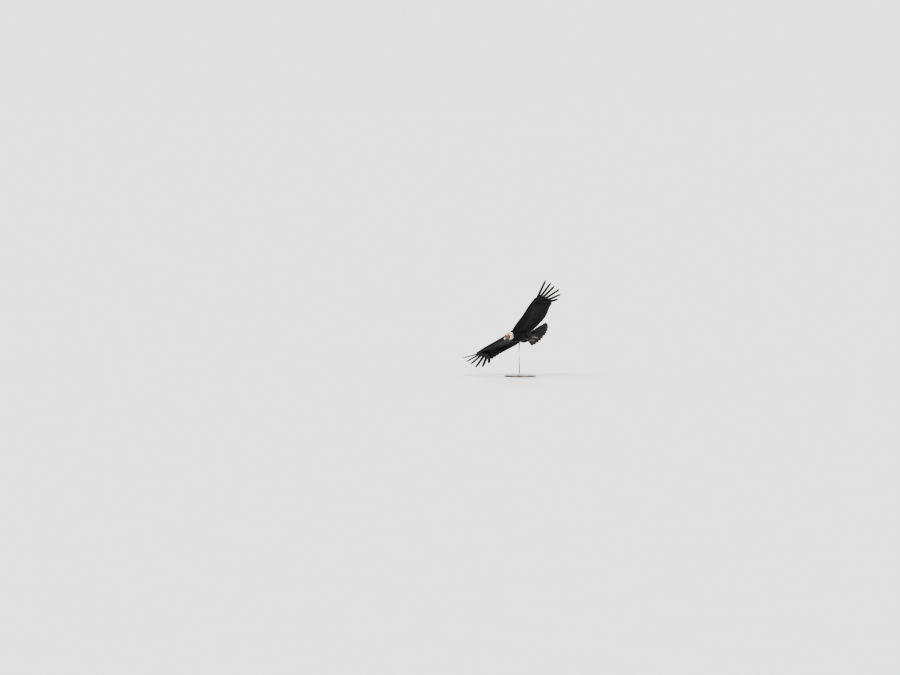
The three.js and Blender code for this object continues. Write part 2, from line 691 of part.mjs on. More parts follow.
// Bare shank laid back under the tail, with three loosely closed toes and a small hind toe
function foot(side) {
  const at = ([x, y, z]) => new THREE.Vector3(side * x, y, z);
  const shank = tube([HOCK, [57, 250, -112], [54, 292, -102], TOE_ROOT].map(at), [14, 10.5, 10, 13], 8);
  const toes = [[-22, 66], [0, 94], [21, 70]].map(([spread, length]) => {
    const path = [0, 0.45, 0.92].map((t) => {
      const sag = 16 * Math.sin(Math.PI * Math.min(1, t * 0.9));
      return at([TOE_ROOT[0] + spread * t, TOE_ROOT[1] - 4 + length * t, TOE_ROOT[2] - sag - 10 * t]);
    });
    return tube(path, [10, 9, 5.5], 5);
  });
  const claws = [[-22, 66], [0, 94], [21, 70]].map(([spread, length]) => {
    const root = at([TOE_ROOT[0] + spread * 0.9, TOE_ROOT[1] - 4 + length * 0.88, TOE_ROOT[2] - 24]);
    const path = [0, 0.5, 1].map((t) => root.clone().add(new THREE.Vector3(0, 24 * t, -4 * t - 12 * t * t)));
    return tube(path, [5.4, 4, 1], 5);
  });
  const hind = tube([[50, 318, -98], [46, 316, -116], [44, 326, -128]].map(at), [7, 5.5, 2], 6);
  return fuse([shank, ...toes, ...claws, hind]);
}

const colour = (hex, roughness, metalness = 0) =>
  new THREE.MeshStandardMaterial({ color: hex, roughness, metalness });
const PLUMAGE = colour(0x17161a, 0.62);
const RUFF_WHITE = colour(0xe9e6df, 0.85);
const SKIN = colour(0x6d4a46, 0.6);
const COMB_SKIN = colour(0x4b3a3c, 0.55);
const HORN = colour(0xd8cfb8, 0.4);
const EYE = colour(0x3a2415, 0.12);
const SCALES = colour(0x57534f, 0.6);
const BASE_WOOD = colour(0x2b2420, 0.45);
const STEEL = colour(0x8d8f92, 0.32, 1);

function mesh(name, solid, material) {
  const made = new THREE.Mesh(toGeometry(solid), material);
  made.name = name;
  return made;
}

const model = new THREE.Group();
const bird = new THREE.Group();
bird.rotation.set(-NOSE_UP, -BANK, 0);
bird.position.set(0, 0, BODY_HEIGHT);
bird.updateMatrix();
model.add(bird);

const torsoSolid = sectionBody(TORSO, 12, 22);
const torsoGrown = sectionBody(TORSO, 12, 22, GAP);
const neckSolid = largest(cut(neck(), torsoGrown));
const neckGrown = neck(GAP);
bird.add(mesh("torso", torsoSolid, PLUMAGE));
bird.add(mesh("neck", neckSolid, SKIN));
bird.add(mesh("tail", tail(torsoGrown), PLUMAGE));

const [outerSide, innerSide] = [beyondWrist(-GAP / 2, true), beyondWrist(GAP / 2, false)];
const mirror = new THREE.Matrix4().makeScale(-1, 1, 1);
for (const [name, seed] of [["left", 5], ["right", 9]]) {
  const random = seeded(seed);
  const flesh = armBody(9, 10);
  const pieces = {
    arm: largest(cut(fuse([flesh, ...armFeathers(random)]), outerSide, torsoGrown)),
    hand: largest(cut(fuse([flesh, ...handFeathers(random)]), innerSide)),
  };
  for (const [piece, drawn] of Object.entries(pieces)) {
    const solid = name === "left" ? drawn : toSolid(toGeometry(drawn).applyMatrix4(mirror));
    bird.add(mesh(`wing_${name}_${piece}`, solid, PLUMAGE));
  }
}

for (const [name, side] of [["left", 1], ["right", -1]]) {
  const hip = thigh(side);
  bird.add(mesh(`leg_${name}`, largest(cut(hip, torsoGrown)), PLUMAGE));
  const hipGrown = hip.translate([0, GAP, 0]);
  bird.add(mesh(`foot_${name}`, largest(cut(foot(side), hip, hipGrown)), SCALES));
}

const shoulder = armBody(9, 10, GAP);
const otherShoulder = toSolid(toGeometry(shoulder).applyMatrix4(mirror));
bird.add(mesh("ruff", ruff(torsoGrown, neckGrown, shoulder, otherShoulder), RUFF_WHITE));

const head = new THREE.Group();
head.applyMatrix4(headFrame);
bird.add(head);
const finishes = {
  head: SKIN, comb: COMB_SKIN, bill_upper: HORN, bill_lower: HORN, eye_left: EYE, eye_right: EYE,
};
for (const [name, solid] of Object.entries(headParts())) head.add(mesh(name, solid, finishes[name]));

// Stand, upright in the world: the rod stops just short of the belly
const baseOutline = [
  new THREE.Vector2(0, 0),
  new THREE.Vector2(BASE_RADIUS, 0),
  new THREE.Vector2(BASE_RADIUS, BASE_THICKNESS - BASE_BEVEL),
  new THREE.Vector2(BASE_RADIUS - BASE_BEVEL, BASE_THICKNESS),
  new THREE.Vector2(0, BASE_THICKNESS),
];
const base = new THREE.LatheGeometry(baseOutline, 36).rotateX(Math.PI / 2).scale(1, -1, 1);
const torsoInWorld = (drop) => toSolid(toGeometry(torsoGrown).applyMatrix4(bird.matrix).translate(0, 0, -drop));
const uprightCylinder = (radius, from, to, sides) => toSolid(
  new THREE.CylinderGeometry(radius, radius, to - from, sides).rotateX(Math.PI / 2)
    .translate(0, ROD_Y, (from + to) / 2),
);
const rod = uprightCylinder(ROD_RADIUS, BASE_THICKNESS + GAP, BODY_HEIGHT, 20);
const collarTop = BASE_THICKNESS + GAP + COLLAR_HEIGHT;
const collar = uprightCylinder(COLLAR_RADIUS, BASE_THICKNESS + GAP, collarTop, 24);
const bore = uprightCylinder(ROD_RADIUS + GAP, 0, 2 * collarTop, 20);
model.add(mesh("stand_base", toSolid(base), BASE_WOOD));
model.add(mesh("stand_rod", largest(cut(rod, torsoInWorld(0))), STEEL));
model.add(mesh("stand_collar", cut(collar, bore), STEEL));

export default model;
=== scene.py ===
# %% [markdown]
# # An Andean condor, banked in a glide
#
# The real thing is a very large, nearly black soaring bird. It is seen from its front left and from
# below, with the left wing up, six long primaries of each wing spread like fingers, and the tail
# fanned and twisted. A museum would show it on a rod over a flat base.
#
# The solids are already in the frame, so this script is about finish: one skin under the coat, every
# flight feather as its own vane with a shaft, rows of coverts, a body coat of small feathers, the
# downy ruff, the bare folded head with its comb, lids and hooked bill, and scaly feet.
#
# Everything on the bird is measured in millimetres in the bird's own level frame: +X is its left,
# +Y is aft and +Z is up. One matrix then banks it and carries it up to its place on the rod.

import json
import math

import bpy
import numpy as np
from mathutils import Matrix, Quaternion, Vector, noise

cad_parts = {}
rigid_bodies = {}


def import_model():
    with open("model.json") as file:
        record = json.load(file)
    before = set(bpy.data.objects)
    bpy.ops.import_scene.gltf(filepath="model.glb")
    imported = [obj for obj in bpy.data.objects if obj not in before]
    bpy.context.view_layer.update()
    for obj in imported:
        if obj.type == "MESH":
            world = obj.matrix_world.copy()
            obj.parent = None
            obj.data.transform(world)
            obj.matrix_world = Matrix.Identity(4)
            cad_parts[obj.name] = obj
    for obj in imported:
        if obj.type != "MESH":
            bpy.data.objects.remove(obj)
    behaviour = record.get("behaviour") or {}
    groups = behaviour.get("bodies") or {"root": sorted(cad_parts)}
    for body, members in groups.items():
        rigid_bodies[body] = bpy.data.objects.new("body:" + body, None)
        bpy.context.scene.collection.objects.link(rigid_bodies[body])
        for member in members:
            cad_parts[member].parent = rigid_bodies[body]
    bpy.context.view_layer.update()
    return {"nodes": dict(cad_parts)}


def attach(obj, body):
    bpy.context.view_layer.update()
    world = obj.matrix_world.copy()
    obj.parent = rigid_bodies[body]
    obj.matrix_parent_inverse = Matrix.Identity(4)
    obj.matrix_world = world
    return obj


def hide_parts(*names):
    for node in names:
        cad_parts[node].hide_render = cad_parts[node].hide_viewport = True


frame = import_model()
print("nodes in the frame:", len(frame["nodes"]))

# %% Pose of the bird on its stand
MM = 0.001
BANK = math.radians(35.4)
NOSE_UP = math.radians(2.1)
BODY_HEIGHT = 0.870
POSE = (
    Matrix.Translation((0, 0, BODY_HEIGHT))
    @ Matrix.Rotation(-NOSE_UP, 4, "X")
    @ Matrix.Rotation(-BANK, 4, "Y")
)
POSE_ARRAY = np.array(POSE)
UP = np.array([0.0, 0.0, 1.0])


def into_pose(points):
    """Points in the bird's frame, in millimetres, as points of the model, in metres."""
    return points * MM @ POSE_ARRAY[:3, :3].T + POSE_ARRAY[:3, 3]


print("left wing points to", np.round(POSE_ARRAY[:3, 0], 3))

# %% [markdown]
# ## The forms under the feathers
#
# The torso and the wings are described by a few cross-sections each. A smooth curve through the rows
# of a table gives the size anywhere between them. This could be done with Blender's curve objects,
# but a small function works on thousands of places at once, which the feathers need.

# %% A smooth value between the rows of a table
def along(table, at, column):
    """The value of one column where the first column is `at`, on a curve through the rows."""
    rows = np.asarray(table, float)
    if rows[0, 0] > rows[-1, 0]:
        rows = rows[::-1]
    x, v = rows[:, 0], rows[:, column]
    k = np.arange(len(x))
    before, after = np.maximum(k - 1, 0), np.minimum(k + 1, len(x) - 1)
    slope = (v[after] - v[before]) / (x[after] - x[before])
    i = np.clip(np.searchsorted(x, at, side="right") - 1, 0, len(x) - 2)
    h = x[i + 1] - x[i]
    t = np.clip((at - x[i]) / h, 0, 1)
    start = v[i] * (2 * t**3 - 3 * t**2 + 1) + h * slope[i] * (t**3 - 2 * t**2 + t)
    return start + v[i + 1] * (3 * t**2 - 2 * t**3) + h * slope[i + 1] * (t**3 - t**2)


def through(stops, t):
    """Each column of evenly spaced stops, on a smooth curve at t from 0 to 1."""
    stops = np.array(stops, float)
    table = np.column_stack([np.linspace(0, 1, len(stops)), stops])
    return [along(table, t, column) for column in range(1, table.shape[1])]


def smoothstep(x, low, high):
    t = np.clip((x - low) / (high - low), 0, 1)
    return t * t * (3 - 2 * t)


def unit(v):
    return v / np.maximum(np.linalg.norm(v, axis=-1, keepdims=True), 1e-9)


def lerp(a, b, t):
    return a + (b - a) * t


def full_turn(count):
    """Evenly spaced angles round a circle."""
    return 2 * math.pi * np.arange(count) / count


print("half way between 1, 3 and 4:", round(float(through([1, 3, 4], 0.5)[0]), 2))


# %% Torso and wing shapes
# Torso: y aft, z of the centre, half width, half height
TORSO = [
    (-300, -14, 62, 62), (-262, -18, 92, 90), (-190, -26, 121, 116), (-90, -32, 132, 124),
    (20, -32, 127, 114), (130, -26, 111, 94), (220, -18, 92, 70), (290, -13, 76, 48),
    (335, -10, 64, 32),
]
# Leading edge of the wing: x outwards, y, z
LEADING_EDGE = [
    (60, -262, -14), (130, -296, 22), (260, -292, 66), (430, -272, 112), (600, -272, 150),
    (790, -303, 179), (930, -308, 199), (1065, -304, 219),
]
# Line through the tips of the inner flight feathers
TRAILING_EDGE = [
    (60, 70, -40), (150, 130, -34), (250, 200, -16), (389, 264, 22), (503, 304, 54),
    (600, 296, 70), (693, 266, 82), (887, 168, 86), (1050, 92, 79),
]
CAMBER = 20
# Flesh of the wing: x, share of the chord that it takes, thickness
ARM = [
    (60, 0.72, 104), (130, 0.66, 96), (260, 0.58, 74), (430, 0.52, 58), (600, 0.44, 46),
    (790, 0.34, 34), (900, 0.27, 26), (1000, 0.2, 18), (1030, 0.12, 10),
]


def torso_point(y, angle, lift=0.0):
    """A point of the torso, with angle 0 on the back and growing towards the bird's left."""
    wide, tall = along(TORSO, y, 2) + lift, along(TORSO, y, 3) + lift
    y = y + 0 * angle
    return np.stack([wide * np.sin(angle), y, along(TORSO, y, 1) + tall * np.cos(angle)], -1)


def wing_point(x, chord, height=0.0):
    """A point of the left wing: chord 0 at its leading and 1 at its trailing edge."""
    y0, z0 = along(LEADING_EDGE, x, 1), along(LEADING_EDGE, x, 2)
    y = lerp(y0, along(TRAILING_EDGE, x, 1), chord)
    z = lerp(z0, along(TRAILING_EDGE, x, 2), chord) + 4 * CAMBER * chord * (1 - chord) + height
    return np.stack([x + 0 * y, y, z], -1)


def flesh_half(x, u):
    """Half the thickness of the wing's flesh, with u 0 at its front and 1 at its back."""
    profile = 0.2969 * np.sqrt(u) - 0.126 * u - 0.3516 * u**2 + 0.2843 * u**3 - 0.1015 * u**4
    return along(ARM, x, 2) * 5 * profile + 2.5 * np.minimum(1, 8 * u)


def flesh_share(x):
    return along(ARM, x, 1)


def flesh_point(x, u, side, lift=0.0):
    """A point on the wing's flesh: side 1 is the upper face and -1 the lower."""
    return wing_point(x, flesh_share(x) * u, side * (flesh_half(x, u) + lift))


def seeded(number):
    return np.random.RandomState(number)


middle_chord = along(TRAILING_EDGE, 500, 1) - along(LEADING_EDGE, 500, 1)
print("wing chord at the middle:", round(float(middle_chord)))

# %% [markdown]
# ## Turning arrays into pieces
#
# There are tens of thousands of feathers here. Making each as an object, or adding its faces one by
# one, would take minutes. Instead each kind of feather is an array of points with one list of faces
# that repeats, and the whole piece goes into Blender in a few calls. Each point also carries where it
# sits on its feather, so that a material can draw barbs along every vane.
#
# Every coat piece gets a UV map of its own, in which a small feather is a tiny patch at the place of
# its root on the unrolled skin. Long flight feathers get a strip each instead.

# %% Make a mesh piece
def into_scene(name, data):
    """A new object with its mesh, light or camera, linked into the scene."""
    made = bpy.data.objects.new(name, data)
    bpy.context.scene.collection.objects.link(made)
    return made


def new_piece(name, points, faces, material, slot, posed=True, **extra):
    """A mesh object riding on the body, with `extra` vector values at its points."""
    mesh = bpy.data.meshes.new(name)
    places = into_pose(points) if posed else points * MM
    faces = [np.asarray(f, np.int64) for f in faces]
    mesh.vertices.add(len(places))
    mesh.vertices.foreach_set("co", places.astype(np.float32).ravel())
    sizes = np.concatenate([np.full(len(f), f.shape[1]) for f in faces])
    starts = np.concatenate([[0], np.cumsum(sizes)[:-1]])
    mesh.loops.add(int(sizes.sum()))
    mesh.loops.foreach_set("vertex_index", np.concatenate([f.ravel() for f in faces]).astype(np.int32))
    mesh.polygons.add(len(sizes))
    mesh.polygons.foreach_set("loop_start", starts.astype(np.int32))
    mesh.polygons.foreach_set("use_smooth", np.ones(len(sizes), bool))
    mesh.update(calc_edges=True)
    mesh.validate()
    for key, values in extra.items():
        if key == "bake":
            layer = mesh.uv_layers.new(name="OFBake")
            layer.uv.foreach_set("vector", np.asarray(values, np.float32).ravel())
        else:
            mesh.attributes.new(key, "FLOAT_VECTOR", "POINT").data.foreach_set(
                "vector", np.asarray(values, np.float32).ravel()
            )
    mesh.materials.append(material)
    piece = into_scene(name, mesh)
    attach(piece, "root")
    return piece


def triangles_of(piece):
    return int(sum(len(p.vertices) - 2 for p in piece.data.polygons))


def flipped(faces):
    """The same faces seen from their other side, as a mirrored body needs."""
    return [f[:, ::-1] for f in faces]


def mirrored(points):
    return points * np.array([-1, 1, 1])


print("a triangle turned over:", flipped([np.array([[0, 1, 2]])])[0].tolist())


# %% Many vanes at once
def vanes(centre, side, half, outward, cup=0.12, thickness=0.8, columns=4, stops=None):
    """Closed vanes: centre and side are (n, rows, 3), half is (n, rows, 2) towards and away from side.

    Returns points, faces, and for each face corner its row, place across and face side.
    """
    n, rows = centre.shape[:2]
    ahead = unit(np.gradient(centre, axis=1))
    side = unit(side - ahead * np.sum(side * ahead, -1, keepdims=True))
    rise = np.cross(ahead, side)
    middle = np.broadcast_to(outward, rise.shape)[:, rows // 2]
    turned = np.sum(rise[:, rows // 2] * middle, -1) < 0
    rise = rise * np.where(turned, -1, 1)[:, None, None]
    across = np.linspace(-1, 1, columns + 1)
    w = np.concatenate([across, across[-2:0:-1]])
    face_up = np.concatenate([[0], np.ones(columns - 1), [0], -np.ones(columns - 1)])
    reach = np.where(w >= 0, half[..., 0, None], half[..., 1, None]) * w
    mean = half.mean(-1)[..., None]
    high = -cup * mean * w**2 + face_up * thickness / 2 * (1 - 0.7 * w**2)
    points = (
        centre[:, :, None] + side[:, :, None] * reach[..., None] + rise[:, :, None] * high[..., None]
    )
    ring = 2 * columns
    k = np.arange(ring)
    row = np.arange(rows - 1)[:, None] * ring
    quads = np.stack([row + k, row + (k + 1) % ring, row + ring + (k + 1) % ring, row + ring + k], -1)
    quads = quads.reshape(-1, 4)
    caps = []
    for first, flip in ((0, True), ((rows - 1) * ring, False)):
        for c in range(columns - 1):
            low = [first + c, first + c + 1]
            back = [first + (ring - c - 1) % ring, first + (ring - c) % ring]
            quad = [low[0], low[1], back[0], back[1]] if c else [low[0], low[1], back[0], back[0]]
            caps.append(quad[::-1] if flip else quad)
    caps = [c for c in caps if len(set(c)) == 4]
    ends = [[f + columns - 1, f + columns, f + columns + 1] for f in (0, (rows - 1) * ring)]
    ends += [[f + 0, f + 1, f + ring - 1] for f in (0, (rows - 1) * ring)]
    ends = [ends[0][::-1], ends[1], ends[2][::-1], ends[3]]
    quads = np.concatenate([quads, np.array(caps, int).reshape(-1, 4)])
    shift = (np.arange(n) * rows * ring)[:, None, None]
    faces = []
    for f in (quads, np.array(ends)):
        f = f + shift
        f = np.where(turned[:, None, None], f, f[:, :, ::-1])
        faces.append(f.reshape(-1, f.shape[-1]))
    stops = np.linspace(0, 1, rows) if stops is None else stops
    return points.reshape(-1, 3), faces, {"w": w, "up": face_up, "s": stops, "rows": rows, "n": n}


def vane_values(info, length, half, rand, white):
    """The vector values of every point: millimetres along and across with a draw, and the tones."""
    n, rows, w = info["n"], info["rows"], info["w"]
    s = info["s"][None, :, None]
    shape = (n, rows, len(w))
    mean = half.mean(-1)[..., None]
    place = np.stack([
        np.broadcast_to(s * length[:, None, None], shape),
        np.broadcast_to(w * mean, shape),
        np.broadcast_to(rand[:, None, None], shape),
    ], -1)
    up = np.broadcast_to(info["up"], shape)
    tone = np.stack([np.broadcast_to(white, shape) * (up > -0.5), np.broadcast_to(s, shape), up], -1)
    return place.reshape(-1, 3), tone.reshape(-1, 3)


def patch_map(info, faces, root_uv, size=0.003):
    """A patch for each feather at its root's place on the unrolled skin."""
    rows, ring = info["rows"], len(info["w"])
    index = np.concatenate([f.ravel() for f in faces])
    feather, inside = index // (rows * ring), index % (rows * ring)
    s, w = info["s"][inside // ring], info["w"][inside % ring]
    return root_uv[feather] + size * np.stack([w / 2, s - 0.5], -1)


def strip_map(info, faces):
    """A strip for each face side of each long feather, side by side over the square."""
    rows, ring, n = info["rows"], len(info["w"]), info["n"]
    uv = []
    for f in faces:
        feather, inside = f // (rows * ring), f % (rows * ring)
        s, w = info["s"][inside // ring], info["w"][inside % ring]
        under = (info["up"][inside % ring] < 0).any(1, keepdims=True)
        strip = 2 * feather + under
        uv.append(np.stack([(strip + 0.5 + 0.44 * w) / (2 * n), 0.02 + 0.96 * s], -1).reshape(-1, 2))
    return np.concatenate(uv)


print("helpers for vanes and their maps are ready")

# %% [markdown]
# ## Finishes of feathers
#
# A condor's black feathers are not flat black: each vane has fine slanted barbs, a faint gloss, a
# browner worn edge, and neighbours differ a little. In an adult male the upper faces of the inner
# flight feathers and their coverts are silvery white. One material could use masks painted by hand,
# but the values stored at the points already say where a place lies on its feather, so one shader
# node group turns them into barbs for the black plumage, the quills' neighbours and the down alike.

# %% Small helpers for shader nodes
def node(tree, kind, **values):
    """A shader node: in_Scale=3 sets a socket's value, and other names set the node's own settings."""
    made = tree.nodes.new(kind)
    for key, value in values.items():
        if key.startswith("in_"):
            made.inputs[key[3:]].default_value = value
        else:
            setattr(made, key, value)
    return made


def new_group(name, takes, gives):
    """A shader node group with named sockets: lists of (name, socket type, default)."""
    group = bpy.data.node_groups.new(name, "ShaderNodeTree")
    for listed, way in ((takes, "INPUT"), (gives, "OUTPUT")):
        for label, kind, default in listed:
            socket = group.interface.new_socket(label, in_out=way, socket_type="NodeSocket" + kind)
            if default is not None:
                socket.default_value = default
    return group, group.nodes.new("NodeGroupInput"), group.nodes.new("NodeGroupOutput")


def place_group(tree, group, **values):
    made = tree.nodes.new("ShaderNodeGroup")
    made.node_tree = group
    for key, value in values.items():
        made.inputs[key.replace("_", " ")].default_value = value
    return made


def math_node(tree, operation, a, b=None, clamp=False):
    made = tree.nodes.new("ShaderNodeMath")
    made.operation = operation
    made.use_clamp = clamp
    for socket, value in zip(made.inputs, (a, b)):
        if value is None:
            continue
        if isinstance(value, (int, float)):
            socket.default_value = value
        else:
            tree.links.new(value, socket)
    return made.outputs[0]


def mix_colour(tree, factor, a, b, blend="MIX"):
    made = tree.nodes.new("ShaderNodeMix")
    made.data_type = "RGBA"
    made.blend_type = blend
    for index, value in ((0, factor), (6, a), (7, b)):
        if isinstance(value, (int, float)):
            made.inputs[index].default_value = value
        elif isinstance(value, tuple):
            made.inputs[index].default_value = (*value, 1)
        else:
            tree.links.new(value, made.inputs[index])
    return made.outputs[2]


def scaled(tree, value, by, plus=None):
    """A value times `by`, and then `plus` a constant or another value."""
    made = math_node(tree, "MULTIPLY", value, by)
    return made if plus is None else math_node(tree, "ADD", made, plus)


def ramp(tree, high, low, slope):
    """The step from low to high times a slope, kept between 0 and 1."""
    return math_node(tree, "MULTIPLY", math_node(tree, "SUBTRACT", high, low), slope, clamp=True)


print("helpers for values and colours are ready")

# %% Helpers for places on a surface
def attribute(tree, name):
    """A vector that a mesh carries at its points."""
    return node(tree, "ShaderNodeAttribute", attribute_name=name).outputs["Vector"]


def object_place(tree):
    return tree.nodes.new("ShaderNodeTexCoord").outputs["Object"]


def split(tree, vector):
    parts = tree.nodes.new("ShaderNodeSeparateXYZ")
    tree.links.new(vector, parts.inputs[0])
    return parts.outputs


def joined(tree, *values):
    """A vector from its first two or three parts."""
    made = tree.nodes.new("ShaderNodeCombineXYZ")
    for value, socket in zip(values, made.inputs):
        tree.links.new(value, socket)
    return made.outputs[0]


def stretched(tree, place, scale):
    made = node(tree, "ShaderNodeMapping", in_Scale=scale)
    tree.links.new(place, made.inputs["Vector"])
    return made.outputs[0]


def noise_of(tree, scale, detail, place):
    made = node(tree, "ShaderNodeTexNoise", in_Scale=scale, in_Detail=detail)
    tree.links.new(place, made.inputs["Vector"])
    return made.outputs["Fac"]


def cells_of(tree, scale):
    """Distance from the middle of round cells, for scales and pores."""
    made = node(tree, "ShaderNodeTexVoronoi", in_Scale=scale)
    tree.links.new(object_place(tree), made.inputs["Vector"])
    return made.outputs["Distance"]


print("helpers for places on a surface are ready")

# %% Start and finish a material
def new_material(name, **settings):
    """A material and its nodes, with plain values set on its shader."""
    material = bpy.data.materials.new(name)
    material.use_nodes = True
    shader = material.node_tree.nodes["Principled BSDF"]
    for key, value in settings.items():
        shader.inputs[key.replace("_", " ")].default_value = value
    return material, material.node_tree


def finish(material, colour, rough, height=None, strength=0.0, distance=0.0):
    """Leads colour, roughness and the height of a bump into a material's shader."""
    tree = material.node_tree
    shader = tree.nodes["Principled BSDF"]
    tree.links.new(colour, shader.inputs["Base Color"])
    tree.links.new(rough, shader.inputs["Roughness"])
    if height is not None:
        bump = node(tree, "ShaderNodeBump", in_Strength=strength, in_Distance=distance)
        tree.links.new(height, bump.inputs["Height"])
        tree.links.new(bump.outputs[0], shader.inputs["Normal"])
    return material


print("helpers for materials are ready")

# %% Node group: barbs along a vane
def make_barbs():
    """Slanted barbs from millimetres along and across a vane, with breaks where barbs part."""
    group, takes, gives = new_group(
        "barbs",
        [("Place", "Vector", None), ("Spacing", "Float", 1.6), ("Slant", "Float", 1.3)],
        [("Lines", "Float", None), ("Streaks", "Float", None)],
    )
    run, aside, draw = split(group, takes.outputs["Place"])
    slanted = scaled(group, math_node(group, "ABSOLUTE", aside), takes.outputs["Slant"])
    turns = math_node(group, "DIVIDE", math_node(group, "SUBTRACT", run, slanted), takes.outputs["Spacing"])
    wave = math_node(group, "SINE", scaled(group, turns, 2 * math.pi))
    place = joined(group, scaled(group, turns, 0.35), scaled(group, aside, 0.02), scaled(group, draw, 90.0))
    group.links.new(scaled(group, wave, 0.5, 0.5), gives.inputs["Lines"])
    group.links.new(noise_of(group, 1.0, 3, place), gives.inputs["Streaks"])
    return group


BARBS = make_barbs()
print("made node group", BARBS.name)

# %% Node group: fine uneven tone and height
def make_mottle():
    """Two sizes of unevenness, for colour, for roughness and for bump."""
    group, takes, gives = new_group(
        "mottle",
        [("Place", "Vector", None), ("Coarse", "Float", 30.0), ("Fine", "Float", 220.0)],
        [("Patches", "Float", None), ("Grain", "Float", None)],
    )
    for socket, scale, detail in (("Patches", "Coarse", 4), ("Grain", "Fine", 3)):
        texture = node(group, "ShaderNodeTexNoise", in_Detail=detail)
        group.links.new(takes.outputs["Place"], texture.inputs["Vector"])
        group.links.new(takes.outputs[scale], texture.inputs["Scale"])
        group.links.new(texture.outputs["Fac"], gives.inputs[socket])
    return group


def barbed(tree, **values):
    """The lines and streaks of barbs, at the place that a vane carries at its points."""
    made = place_group(tree, BARBS, **values)
    tree.links.new(attribute(tree, "vane"), made.inputs["Place"])
    return made.outputs


def mottled(tree, coarse, fine, place=None):
    """Patches and grain of two sizes, at the object's own places or at another one."""
    made = place_group(tree, MOTTLE, Coarse=coarse, Fine=fine)
    tree.links.new(place or object_place(tree), made.inputs["Place"])
    return made.outputs


MOTTLE = make_mottle()
print("made node group", MOTTLE.name)

# %% Plumage: black above and below, silvery where the stored tone says so
BLACK = (0.0, 0.0, 0.0)
SILVER = (0.47, 0.46, 0.44), (0.78, 0.77, 0.74)


def make_plumage(name, dark, mid, worn, rough, spacing):
    material, tree = new_material(name, Specular_IOR_Level=0.22)
    lines, streaks = barbed(tree, Spacing=spacing)
    silvery, run, _ = split(tree, attribute(tree, "tone"))
    body = mix_colour(tree, streaks, dark, mid)
    body = mix_colour(tree, scaled(tree, split(tree, attribute(tree, "vane"))[2], 0.35), body, mid)
    body = mix_colour(tree, scaled(tree, math_node(tree, "POWER", run, 9.0), 0.75), body, worn)
    body = mix_colour(tree, scaled(tree, mottled(tree, 9.0, 160.0)["Patches"], 0.14), body, worn)
    ragged = scaled(tree, math_node(tree, "SUBTRACT", streaks, 0.5), 0.5, silvery)
    body = mix_colour(tree, ramp(tree, ragged, 0.42, 7.0), body, mix_colour(tree, streaks, *SILVER))
    body = mix_colour(tree, scaled(tree, lines, 0.22), body, BLACK, "MULTIPLY")
    return finish(
        material, body, scaled(tree, streaks, 0.3, rough), scaled(tree, streaks, 1.6, lines), 0.45, 0.0006)


PLUMAGE = make_plumage(
    "body_plumage", (0.003, 0.0032, 0.0042), (0.0098, 0.0095, 0.0104), (0.029, 0.022, 0.018), 0.36, 1.7)
FLIGHT = make_plumage(
    "flight_plumage", (0.0036, 0.0038, 0.005), (0.0122, 0.0116, 0.012), (0.035, 0.027, 0.022), 0.33, 2.4)
print("made", PLUMAGE.name, "and", FLIGHT.name)

# %% Quill horn, down and the dark down under the coat
def make_plain(name, coarse, fine, colours, rough, rough_by, bump, stretch=None, tint=None, **settings):
    """A material that needs only the mottle: its colours, its roughness and a bump from its grain."""
    material, tree = new_material(name, **settings)
    patches, grain = mottled(tree, coarse, fine, stretch and stretched(tree, object_place(tree), stretch))
    colour = mix_colour(tree, patches, *colours)
    if tint:
        colour = mix_colour(tree, scaled(tree, grain, tint[0]), colour, tint[1])
    return finish(material, colour, scaled(tree, grain, rough_by, rough), *(bump and (grain, *bump) or ()))


def make_down(name, shade, light, rough=0.75, depth=0.0):
    material, tree = new_material(
        name, Sheen_Weight=0.35, Sheen_Roughness=0.6, Specular_IOR_Level=0.25, Subsurface_Weight=depth,
        Subsurface_Scale=0.008, Subsurface_Radius=(1.0, 0.95, 0.9))
    lines, streaks = barbed(tree, Spacing=1.1, Slant=2.2)
    colour = mix_colour(tree, streaks, shade, light)
    colour = mix_colour(tree, scaled(tree, lines, 0.3), colour, shade)
    return finish(material, colour, scaled(tree, streaks, 0.2, rough), lines, 0.4, 0.0005)


QUILL = make_plain("quill", 60.0, 420.0, ((0.012, 0.010, 0.009), (0.075, 0.055, 0.038)), 0.3, 0.2,
                   (0.2, 0.0003), Coat_Weight=0.15, Coat_Roughness=0.3)
WHITE_DOWN = make_down("white_down", (0.66, 0.64, 0.6), (0.9, 0.89, 0.86), depth=0.5)
DARK_DOWN = make_down("dark_down", (0.008, 0.008, 0.009), (0.03, 0.027, 0.026))
print("made", QUILL.name, WHITE_DOWN.name, DARK_DOWN.name)

# %% [markdown]
# ## Flight feathers
#
# Ten primaries spring from the hand and twenty-two secondaries from the forearm. The outer six
# primaries narrow sharply half way out, which opens the slots between the fingers. Each is a curved
# vane with a shaft that tapers to the tip, its leading side narrower than its trailing one, and its
# barbs parted here and there at the edge. A flat card with a picture on it would be quicker, but it
# looks wrong from the side, so every vane is a closed mesh with its own bend.

# %% Sizes of the flight feathers
FINGER_TIPS = [
    (1471, -282, 376), (1500, -183, 303), (1484, -107, 229), (1484, -9, 146), (1382, 81, 90),
    (1222, 134, 80),
]
PRIMARIES = 10
SECONDARIES = 22
FINGER_BASE_X = 1062
FINGER_WIDTH = 60
FINGER_BOW = 20
FINGER_BASE_STEP = 4
PRIMARY_WIDTH = 98
SECONDARY_WIDTH = 72
VANE_TILT = math.radians(7)
FLIGHT_ROWS = 72


def outward_edge(x, chord, tilt):
    """Width direction of a vane that points aft: outwards along the wing, its outer edge raised."""
    way = unit(wing_point(x + 15, chord) - wing_point(x - 15, chord))
    way[..., 2] += math.sin(tilt)
    return way


